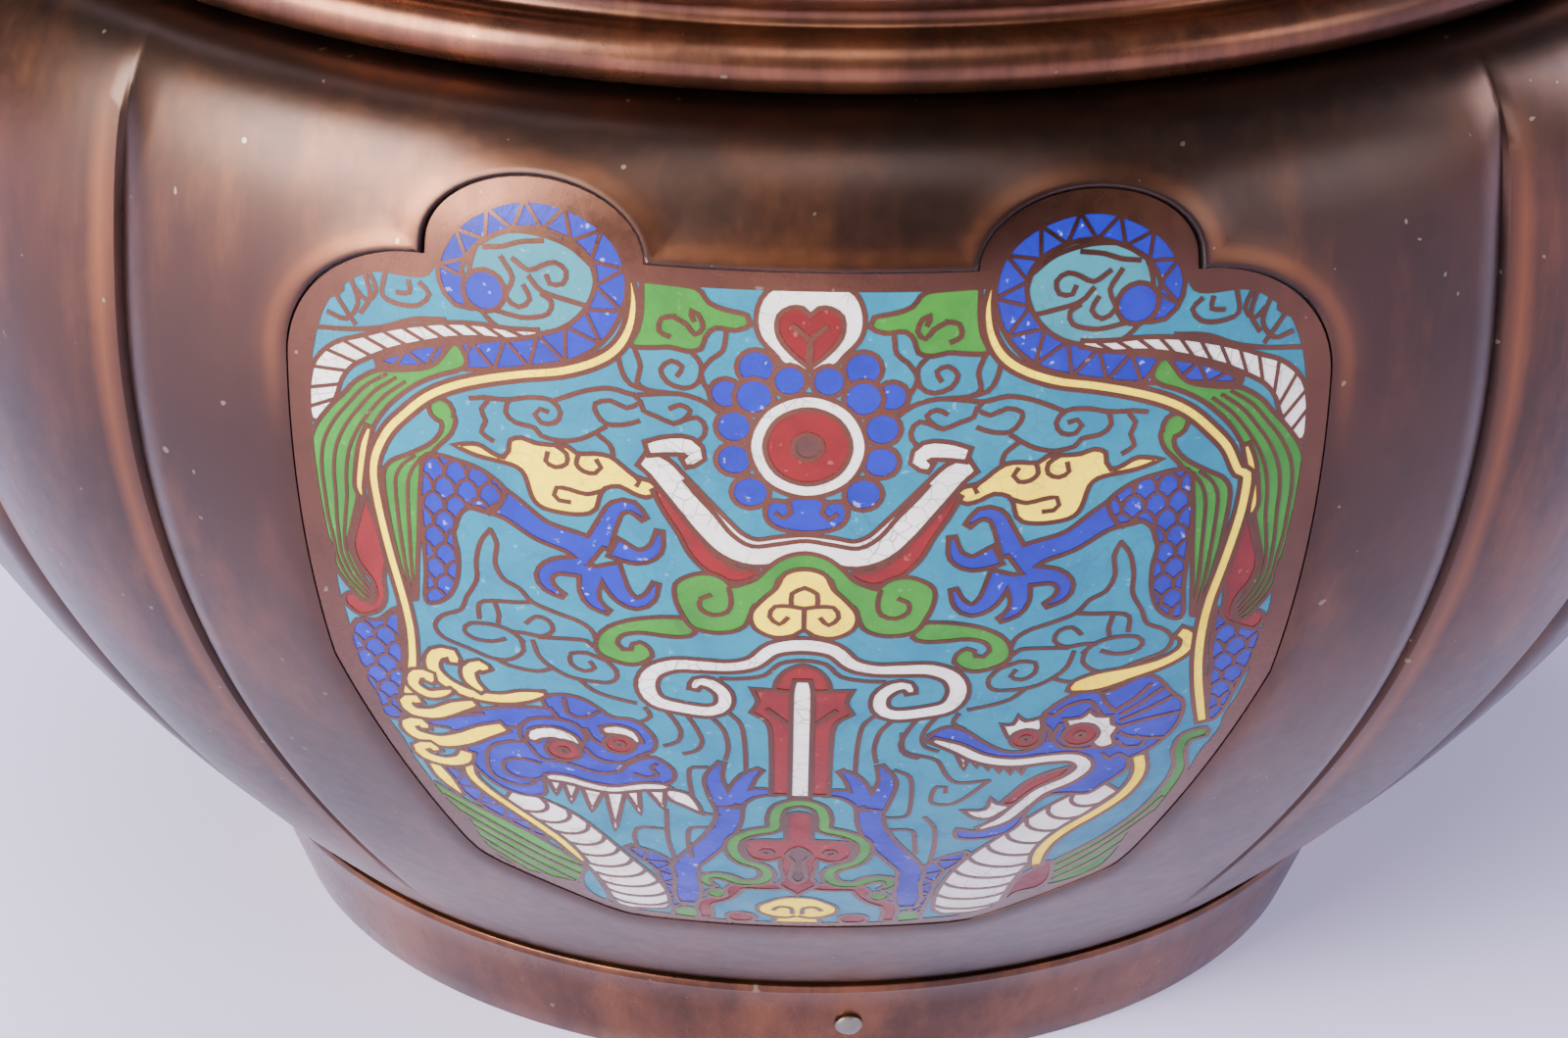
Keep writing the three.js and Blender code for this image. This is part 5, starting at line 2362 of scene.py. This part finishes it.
    def foot_scrolls(self) -> None:
        """The red trefoil in its green band, with the red and yellow scrolls under it."""
        band = [
            (0, 84.2, 2.4), (3, 82.6, 2.4), (3.9, 79, 2.4), (4, 75.5, 2.4), (7, 74, 2.4), (9.8, 71.3, 2.4),
            (10.4, 67.3, 2.4), (9, 63.3, 2.4), (5.8, 61, 2.4), (4.8, 58, 2.4), (6, 55, 2.6),
            (9, 54.3, 2.6), (11.5, 56.3, 2.8), (14, 56.3, 2.4), (14.8, 53.8, 2.0), (13.3, 51.8, 1.4),
        ]
        for side in SIDES:
            self.ribbons(side, Tint.RED, [
                (1, 53.8, 2.6), (5, 53, 2.6), (9.3, 52.6, 2.6), (10.6, 49.6, 2.6), (12.3, 46.6, 2.6),
                (14.4, 44.6, 2.6), (14.9, 41.6, 2.4), (14.5, 37, 2.2),
            ])
            self.cells(side, Tint.GREEN, [(11.6, 50.6), (13.4, 50.8), (14.8, 48.6), (13, 46.8), (11.4, 48)])
            self.sketch.discs(Tint.RED, (side * 9, 38.2, 2.4))
            self.cells(side, Tint.GREEN, [(16.2, 41), (19.4, 40.6), (20, 37.4), (20, 36), (16.2, 36)])
        self.sketch.ribbons(Tint.GREEN, self.whole(band))
        half = [
            (0, 81.3), (1.8, 80.2), (2.1, 75), (2.3, 71.8), (5, 71.6), (8, 70.6), (8.5, 67.4), (7.3, 64.3),
            (4.5, 63.5), (3, 64.6), (2.8, 61), (2.3, 57), (3.1, 54.2), (1.2, 51.4), (0, 49.4),
        ]
        self.sketch.cells(Tint.RED, self.closed([*half, (0, 49.4)]))
        key = [(0, 69), (1.9, 66.2), (0.9, 63.6), (1.1, 60), (1.3, 57.2), (0, 55)]
        self.sketch.cells(Tint.DARK, self.closed(key))
        for side in SIDES:
            turns = np.radians(range(0, 360, 60))
            ring = np.column_stack((side * 5 + 0.9 * np.cos(turns), 67 + 0.9 * np.sin(turns)))
            self.sketch.wire(ring, closed=True)
        cloud = [
            (0, 48.6), (2.5, 48.2), (4.7, 46.2), (6.3, 44), (6.1, 41), (4.2, 39.2), (3.4, 38.2), (3.6, 36),
            (0, 36),
        ]
        self.sketch.cells(Tint.YELLOW, self.closed(cloud))
        for side in SIDES:
            self.wires(
                side,
                [(0.8, 40.8), (1, 43.4), (2.8, 43.9), (3.8, 42.4)],
                [(0.4, 39.4), (2, 38.6), (3.8, 39)],
            )

    def paw(self, side: int) -> None:
        """The lower arm that reaches up to the staff, and the scaled strip beside it.

        Args:
            side: -1 for the left, 1 for the right.
        """
        strip = self.out([
            (27, 65.4, 1.4), (24, 62.7, 3.8), (21.3, 59, 4.0), (20.3, 54, 3.4), (19.8, 49, 3.0),
            (19.2, 44, 2.6), (19.2, 40.6, 1.6),
        ], side)
        loop = self.sketch.ribbons(Tint.BLUE, strip)[0]
        self.sketch.zigzag(strip, 2.6, loop, self.fine_wire)
        self.ribbons(
            side, Tint.BLUE,
            [(17.4, 43.4, 3.4), (17.6, 48, 4.2), (17.4, 54, 4.2), (17.8, 59.5, 4.2), (15.6, 65, 4.4),
             (12.9, 71, 4.4), (11.2, 77, 4.2), (10.9, 82, 4.2)],
            [(11.4, 82, 3.8), (12.8, 87, 3.4), (13.4, 91, 2.8), (12.2, 95.4, 1.0)],
            [(10.5, 83, 3.8), (9.3, 88, 3.2), (8.1, 91.5, 2.6), (6.2, 94, 1.0)],
            [(10.4, 83.5, 3.2), (8, 86.4, 2.8), (5.5, 87.3, 2.2), (3.6, 86.8, 0.9)],
        )

    def neck(self, side: int, centre: list, rib_pitch: float) -> None:
        """A white belly of curved plates along the neck.

        Args:
            side: -1 for the left, 1 for the right.
            centre: Middle line, as places with the width of the band.
            rib_pitch: Distance from one plate to the next.
        """
        path = self.out(centre, side)
        loop = self.sketch.ribbons(Tint.WHITE, path)[0]
        self.sketch.ribs(path, rib_pitch, 0.0, loop, self.wire, bow=2.6)

    def iris(self, side: int, x: float, s: float, radius: float) -> None:
        """A red eye with a dark middle."""
        self.sketch.discs(Tint.RED, (side * x, s, radius))
        self.sketch.discs(Tint.DARK, (side * x, s, 0.7))

    def left_neck(self) -> None:
        """The left dragon's neck with its fin, stripe and scaled edge."""
        side = -1
        self.wires(
            side,
            [(20.8, 79.6), (20.6, 70), (19.4, 61)],
            [(25.5, 65.4), (26, 70), (24.8, 72.8), (20.7, 73)],
            [(13.4, 74.8), (17, 74), (17.4, 69), (16.8, 63.6)],
            [(12.6, 79), (16, 79.8)],
            [(16.4, 81.4), (17.2, 92.8), (14.4, 93.8)],
        )
        self.cells(side, Tint.GREEN, [
            (59, 77), (57.3, 75.4), (52, 71.5), (46.7, 67.7), (42, 64), (38, 59.7), (34.3, 55), (34.4, 52),
            (36, 46.6), (40, 47), (44, 48), (50, 52.8), (53.4, 60.7), (54.8, 66), (57.6, 71.3), (59.4, 75),
        ])
        fin = self.sketch.layers[-1][0]
        for path in (
            [(57.6, 73), (48, 64.9), (40, 57.6), (34.6, 54)], [(55.7, 68.6), (44, 58), (35.3, 50.6)],
            [(54.3, 64.6), (43, 53.6), (36.4, 47.4)], [(53.7, 60.9), (45, 51.8), (40.6, 47.4)],
            [(52.3, 57), (47, 51.4), (44, 48)],
        ):
            self.sketch.wire(self.out(path, side), clip=fin)
        self.cells(side, Tint.TURQUOISE, [
            (33.8, 54), (34.8, 50), (34.8, 46), (33.6, 42.4), (31.2, 39.6), (30.4, 42), (31.6, 47.5),
            (32.6, 51.5),
        ])
        strip = self.out([
            (56.6, 84, 2.0), (54.6, 80, 4.0), (50.5, 74.6, 4.4), (46, 70, 3.6), (42, 66, 2.0),
            (40, 63.6, 1.0),
        ], side)
        loop = self.sketch.ribbons(Tint.BLUE, strip)[0]
        self.sketch.zigzag(strip, 3.0, loop, self.fine_wire)
        self.neck(side, [
            (46.6, 77.2, 4.4), (42.3, 75.6, 6.4), (38.4, 72.2, 7.6), (35.3, 68, 7.8), (32.6, 63, 8.4),
            (30.2, 58, 9.2), (27.8, 53, 9.8), (26.1, 48, 10.2), (25.3, 43, 9.8), (25, 40, 9.0),
            (24.6, 38.2, 6.4),
        ], 4.4)
        self.ribbons(side, Tint.YELLOW, [
            (52.8, 86, 2.2), (52.4, 82, 2.2), (50, 78, 2.2), (46, 73.5, 2.2), (42, 69, 2.2),
            (38.5, 64.5, 2.2), (36, 60, 2.0), (34.3, 56.3, 1.2),
        ])

    def left_head(self) -> None:
        """The left dragon's head, which looks down to the middle with an open mouth."""
        side = -1
        self.cells(side, Tint.BLUE, [
            (61, 95), (56, 98.6), (52, 101.5), (47, 104), (42, 105.3), (39.6, 105.7), (40.3, 107.6),
            (39, 109), (36.5, 109.7), (33.5, 109), (31, 107), (29, 105.3), (26, 105.2), (23.8, 103.2),
            (22.4, 100), (23, 97), (25.2, 95.4), (22.6, 95.5), (20.3, 93.4), (19.4, 91), (20, 88.6),
            (22, 87.6), (24.5, 87.2), (28, 85.8), (32, 85.8), (36, 86.6), (39.8, 86.2), (40.2, 83),
            (40.3, 79.9), (43.5, 78.6), (47.5, 80), (51, 84), (53, 89), (53, 93), (56, 95.4),
        ])
        self.wires(
            side,
            [(43, 95.6), (46.5, 94.4), (49.2, 91.6), (49.6, 87), (48.6, 83.4), (45.5, 81.8), (42.6, 82.4),
             (41.6, 84.4)],
            [(40.8, 89.6), (44, 90.2), (46.6, 88.8), (46.8, 86), (45, 84.2), (42, 84.2), (40.5, 85.4)],
            [(46, 98.5), (43.8, 99.8), (42.6, 101.8), (39.6, 103), (36, 102.8), (34, 101), (33.4, 98.4),
             (34.6, 95.6)],
            [(43.8, 99.8), (44, 97), (42.4, 94.2), (40.6, 91.2), (37.6, 91.2), (35, 90.4), (31.5, 89.2),
             (28.6, 90), (27, 92.4), (24.6, 94.9), (22.6, 95.5)],
            [(33.5, 95.8), (31.6, 93.4), (28, 92.8), (25.5, 94.8)],
            [(25.8, 90), (23.6, 89.3), (22.2, 90.6), (23.2, 92.3), (22.4, 93.4)],
            [(39, 105.7), (37.6, 103)],
            [(36.8, 108.6), (36, 104.8), (33.6, 104.4), (31.4, 106.2)],
            [(33.4, 101.4), (32.4, 99), (31, 97.6)],
            [(59, 96.6), (54, 99.6), (50, 101.4)],
        )
        self.ribbons(side, Tint.WHITE, [
            (42, 96, 1.6), (41.4, 98, 3.0), (38.6, 99.2, 3.2), (35.8, 98, 2.6), (34.6, 96, 1.2),
        ])
        self.ribbons(side, Tint.WHITE, [
            (30.8, 101.4, 1.8), (28.6, 102, 2.6), (26.4, 101.2, 2.4), (25.2, 99, 1.4),
        ])
        self.iris(side, 37, 94.6, 2.9)
        self.iris(side, 28.1, 98.2, 2.5)
        teeth = (
            [(39.6, 84.8), (37.4, 84.8), (38.4, 80.4)], [(37.2, 84.7), (34.8, 84.2), (36.0, 78.4)],
            [(34.2, 83.8), (30.8, 83.4), (32.7, 76.4)], [(30.4, 83.4), (27.4, 83.8), (29.0, 70.6)],
            [(27.3, 84.2), (25.1, 84.8), (24.9, 77.4)], [(23.8, 85.4), (21.0, 85.6), (21.2, 79.8)],
        )
        for tooth in teeth:
            self.cells(side, Tint.WHITE, [corner for corner in tooth for _ in range(2)])
        self.cells(side, Tint.WHITE, [
            (20.6, 86.2), (17.6, 85.6), (16, 82.8), (15, 79), (15, 79), (18, 81.4), (20, 82.8),
            (20.9, 84.5),
        ])
        self.cells(side, Tint.WHITE, [
            (40.2, 86.3), (38.5, 87.1), (36, 87), (33, 86), (29.5, 85.5), (27, 86.5), (24.5, 87.6),
            (21.5, 87.9), (20, 86.9), (21, 86), (24, 85.4), (26.5, 84.4), (29.5, 83.4), (33, 83.7),
            (36.5, 84.7), (40, 84.9),
        ])

    def left_mane(self) -> None:
        """The curled yellow locks behind the left head, and its tusk."""
        self.ribbons(
            -1, Tint.YELLOW,
            [(59, 83.6, 2.4), (57, 79.2, 3.0), (54.2, 74.4, 0.9)],
        )
        for lock in (
            [(54.4, 113, 2.0), (54.8, 115.4, 2.8), (57.3, 114.6, 3.0), (58, 111.4, 2.8), (56, 108.2, 2.8),
             (52, 106.2, 2.8), (47, 106.2, 2.8), (43, 107.8, 3.0), (39.6, 109.2, 1.2)],
            [(49, 112.6, 2.0), (50.2, 113.8, 2.8), (52, 112.2, 2.8), (51.6, 109.4, 2.6),
             (49.6, 107.2, 1.4)],
            [(59, 107, 2.0), (58.6, 108.8, 2.6), (60.8, 108.6, 2.8), (61.4, 105.8, 2.6), (59, 103.9, 2.6),
             (56.4, 105, 2.2), (54.8, 106.4, 1.0)],
            [(60.6, 100.6, 2.0), (61.4, 102, 2.6), (63, 100.4, 2.8), (61.6, 98.2, 3.0), (58, 98.9, 3.2),
             (54.4, 101.8, 3.2), (51, 104, 2.0)],
            [(59.8, 93.6, 2.0), (60.6, 95.4, 2.8), (62.8, 94.2, 3.0), (61.6, 91.6, 3.2), (57.4, 91, 3.6),
             (53.6, 93, 3.8), (50, 96.2, 3.6), (46.4, 98.8, 2.6)],
            [(58, 87.4, 2.0), (59.2, 89, 2.6), (61.2, 87.6, 2.8), (60, 85.4, 3.0), (56.6, 84.9, 3.0),
             (53.8, 86.6, 3.2), (53, 89.6, 2.6)],
        ):
            self.ribbons(-1, Tint.YELLOW, lock)

    def right_neck(self) -> None:
        """The right dragon's neck with its fin and stripe."""
        side = 1
        self.wires(
            side,
            [(29.4, 89.6), (25.5, 84.4), (23, 82.8), (20.6, 83.6), (20.5, 86.5), (21.2, 88.6), (22.6, 88.4),
             (22.6, 86.8)],
            [(29.4, 89.6), (24.5, 89.5), (22.6, 92), (21, 96.4), (18, 98), (15.8, 99.4), (15.4, 104)],
            [(13, 79.3), (16.4, 79.5), (17.2, 83), (17, 91.6), (14.6, 94)],
            [(13.6, 75.2), (17.6, 74.6), (18.2, 70), (18.4, 66)],
            [(19.6, 79), (21.2, 75), (21.3, 68), (20.8, 63)],
        )
        self.cells(side, Tint.GREEN, [
            (64.6, 97.2), (60.5, 96.4), (59.2, 92), (59.7, 87), (58.2, 81), (55, 74), (50, 67), (44, 61),
            (41, 58), (40.6, 54), (40.3, 48), (46, 49.6), (50.4, 54), (53.6, 61), (56.6, 69), (59.6, 77),
            (62, 85), (61.6, 91), (62.4, 94.2), (65, 94.6),
        ])
        fin = self.sketch.layers[-1][0]
        for path in (
            [(58.6, 77), (54.2, 70), (49, 63.5), (42, 56.4)],
            [(57.4, 72), (52.2, 65), (47, 58.5), (41, 52.5)],
            [(55.4, 66.5), (50.8, 59.5), (46.5, 54.5), (41, 49.6)],
        ):
            self.sketch.wire(self.out(path, side), clip=fin)
        self.cells(side, Tint.RED, [
            (40.6, 58.6), (38, 56.4), (35.6, 53), (34, 47), (33.4, 40), (37, 45), (40.2, 49), (41, 54),
        ])
        self.neck(side, [
            (49.4, 83.6, 5.0), (46, 81, 6.4), (42.4, 77.4, 7.6), (38.8, 73, 8.4), (35.6, 67.8, 9.6),
            (32.4, 62, 11.2), (29.9, 56, 11.8), (28.3, 50, 11.8), (27.5, 44, 11.4), (27.2, 40.4, 10.4),
            (27, 38.2, 7.0),
        ], 4.8)
        self.ribbons(side, Tint.YELLOW, [
            (53.5, 92.4, 2.6), (54, 88, 2.6), (53.3, 84, 2.6), (51, 79.5, 2.6), (47, 75, 2.6),
            (43, 71, 2.6), (40, 66.5, 2.6), (38.5, 62, 2.6), (38.2, 57.2, 2.0),
        ])

    def right_head(self) -> None:
        """The right dragon's head, which looks up to the middle with its tongue out."""
        side = 1
        self.cells(side, Tint.BLUE, [
            (19.4, 102), (20.6, 104.4), (22.6, 105.4), (25.4, 104), (28, 101), (31.4, 98), (34.6, 97.4),
            (37, 98.6), (37.6, 102), (37.4, 105.4), (37.4, 107), (39.4, 109.4), (42, 111.2), (44.5, 112),
            (46.5, 110.8), (49, 111.8), (53, 113.9), (55.6, 112.6), (58, 108.6), (60.2, 105.4),
            (59.6, 100), (57, 95.5), (53.6, 92.6), (52, 91.6), (51.8, 88.8), (50, 86.5), (48, 84.6),
            (45.6, 82.4), (43, 83), (39.5, 83.4), (37.2, 81.4), (35.8, 78.6), (35, 75), (33, 71.8),
            (30, 70.4), (27, 70.4), (24.8, 71.4), (24.8, 74.4), (28, 73.2), (31, 76), (34, 81), (37, 85),
            (41, 88), (43, 91), (42, 93.4), (38, 94), (33, 93.8), (29, 95), (25.5, 98),
        ])
        self.wires(
            side,
            [(37.4, 107), (39, 106.4), (41, 108.4), (44.5, 109.2), (46, 106.6), (47, 104.8)],
            [(46.5, 110.8), (47.4, 108), (49, 105.6)],
            [(49.4, 106.2), (52, 108.4), (54.4, 111.4)], [(49.8, 104.6), (53, 107), (56.4, 110)],
            [(50, 103), (54, 105), (58, 107.4)], [(50, 101.4), (54, 102.4), (59.6, 103)],
            [(50, 99.6), (51.4, 98.4), (54, 97.2), (57.4, 96.4)],
            [(49.6, 97.6), (51, 95.4), (53.4, 95), (54.2, 96.6), (52.8, 98)],
            [(47.4, 94.2), (48.6, 92.4), (50, 93.6), (51.6, 92)],
            [(40.2, 104), (39.2, 100.6), (40.6, 97.6), (44, 96.4), (46.6, 96.8)],
            [(37, 104.6), (38.6, 102.6), (38.4, 99.6)],
            [(36.6, 84.6), (39, 83.6)],
        )
        self.cells(side, Tint.WHITE, [
            (30.8, 105.2), (30.8, 105.2), (32.6, 105), (33.4, 107.2), (33.4, 107.2), (34.6, 105.6),
            (37, 106.2), (37, 106.2), (37.2, 103), (35, 102), (32.4, 101),
        ])
        self.cells(side, Tint.WHITE, [
            (40.8, 105.1), (40.8, 105.1), (43.4, 105.1), (44.8, 106.8), (44.8, 106.8), (46, 105),
            (48.4, 104.6), (48.4, 104.6), (48.6, 102.4), (49.8, 101.4), (49.8, 101.4), (48.8, 99),
            (49.2, 96.6), (47, 96), (45.6, 97.6), (45, 102), (42, 102),
        ])
        self.iris(side, 34.8, 100.8, 2.5)
        self.iris(side, 43.5, 100.4, 3.0)
        fang = [(23.8, 98.4), (26, 97.6), (25.3, 93.4)]
        self.cells(side, Tint.WHITE, [corner for corner in fang for _ in range(2)])
        for x, s in ((27, 95.8), (28.8, 94.8), (30.6, 93.8), (32.4, 93.0), (34.2, 92.8)):
            tooth = [(x - 1, s + 1.4), (x + 1, s + 0.8), (x + 0.3, s - 1.9)]
            self.cells(side, Tint.DARK, [corner for corner in tooth for _ in range(2)])
        self.cells(side, Tint.RED, [
            (42.4, 91.4), (38.5, 90.4), (35.4, 88.2), (33, 84.6), (31.6, 82), (33.6, 81.6), (37, 86),
            (41, 89),
        ])
        self.cells(side, Tint.WHITE, [
            (25.4, 80.7), (25.4, 80.7), (29, 80.5), (29.8, 84.2), (29.8, 84.2), (31, 82), (33.2, 80.9),
            (31.8, 79), (29.8, 77.2), (27.4, 77.9),
        ])
        self.ribbons(side, Tint.WHITE, [
            (20.2, 102, 1.4), (24, 99.6, 2.4), (28, 96.2, 2.6), (33, 94.4, 2.6), (39, 94.6, 2.6),
            (43, 93.9, 2.8), (44.6, 91, 3.0), (42.4, 87.8, 2.8), (37.8, 84.8, 2.8), (34.8, 80.6, 2.8),
            (32, 76.4, 2.6), (28.2, 73.8, 1.4),
        ])
        self.ribbons(side, Tint.YELLOW, [
            (58.2, 123.2, 2.4), (60, 121.6, 2.8), (59.4, 118.6, 2.6), (56, 116.4, 2.6), (51, 115, 3.2),
            (46, 113.9, 4.4), (42.6, 113.2, 3.2), (41.4, 112, 1.0),
        ])

    def draw(self) -> Sketch:
        """Draws every motif and returns the drawing.

        Returns:
            The drawing.
        """
        for side in SIDES:
            self.clouds(side)
            self.steps(side)
            self.hump(side)
            self.tail(side)
            self.outer_fin(side)
            self.flame(side)
            self.inner_fin(side)
            self.body(side)
            self.flame_cloud(side)
            self.green_cloud(side)
            self.paw(side)
            self.lower_body(side)
        self.heart_and_pearl()
        self.ribbon_knot()
        self.green_scroll()
        self.bracket()
        self.trefoil()
        self.staff()
        self.foot_scrolls()
        self.left_neck()
        self.left_head()
        self.right_neck()
        self.right_head()
        for side in SIDES:
            self.stripe(side)
        self.left_mane()
        return self.sketch


def main() -> None:
    """Builds every piece in order and sets the studio."""
    logging.basicConfig(level=logging.INFO, format="%(name)s: %(message)s")
    studio = Studio()
    studio.camera()
    form = BowlForm()
    outline = PanelOutline(form)
    # Cast bronze, chemically browned and waxed: dark and satin, with copper where it is rubbed and where
    # highlights are painted, and painted shade in the grooves and under the collar.
    body_bronze = AgedBronze(
        "cast_bronze_brown_patina", "43291d", "96582f", "211813", 0.32, gloss_rough=0.34, matt_rough=0.46,
        neck_shade=0.75, metallic=1.0, marks=True, wax=0.3,
    ).build()
    # Turned bronze that hands reach: redder and a little glossier, with wear along the turning.
    turned_bronze = AgedBronze(
        "turned_bronze_rubbed", "4c2e21", "9c603c", "241811", 0.46, gloss_rough=0.26, matt_rough=0.4,
    ).build()
    # The cloisonne plate's bronze, stoned flat together with its glass: even and lighter.
    plate_bronze = AgedBronze(
        "stoned_bronze_plate", "573424", "7a4d36", "3a261c", 0.4, gloss_rough=0.25, matt_rough=0.38,
    ).build()
    # Pale brass pins, hammered and worn grey.
    pin_metal = AgedBronze("worn_pin_metal", "6f6a60", "9a958a", "3a3833", 0.4, matt_rough=0.6).build()
    # Opaque lead glass coloured with metal oxides, fired in the cells and polished: a satin gloss.
    enamels = [
        FusedEnamel("enamel_turquoise", "0f6a7d", "0c5d75", "7fb4bc"),
        FusedEnamel("enamel_light_teal", "2f747c", "286873", "9cc4c4"),
        FusedEnamel("enamel_blue", "101a8c", "0c147a", "8f9cd8", 0.5),
        FusedEnamel("enamel_green", "2c7018", "236115", "6ea25c"),
        FusedEnamel("enamel_yellow", "f0d202", "e0be02", "f0e088", crackle=0.35),
        FusedEnamel("enamel_red", "6a1009", "580d08", "b86a5c"),
        FusedEnamel("enamel_white", "d0ccc2", "c2bdb0", "e8e4da", crackle=0.7),
        FusedEnamel("enamel_dark_brown", "4a2a22", "3a211c", "80584a"),
    ]
    BowlShell(form, outline, body_bronze).build()
    turning = TurnedTree().build()
    NeckCollar(turned_bronze).build(turning)
    foot = FootRing(turned_bronze)
    foot.build(turning)
    FootPins(pin_metal).build(foot, PinTree().build())
    design = DragonDesign()
    colours = [enamel.build() for enamel in enamels]
    panel = EnamelPanel(form, outline, plate_bronze, colours, design.draw(), design.field_loop())
    for index in range(form.lobe_count):
        panel.build(index)
    studio.floor()
    studio.lights()


if __name__ == "__main__":
    main()
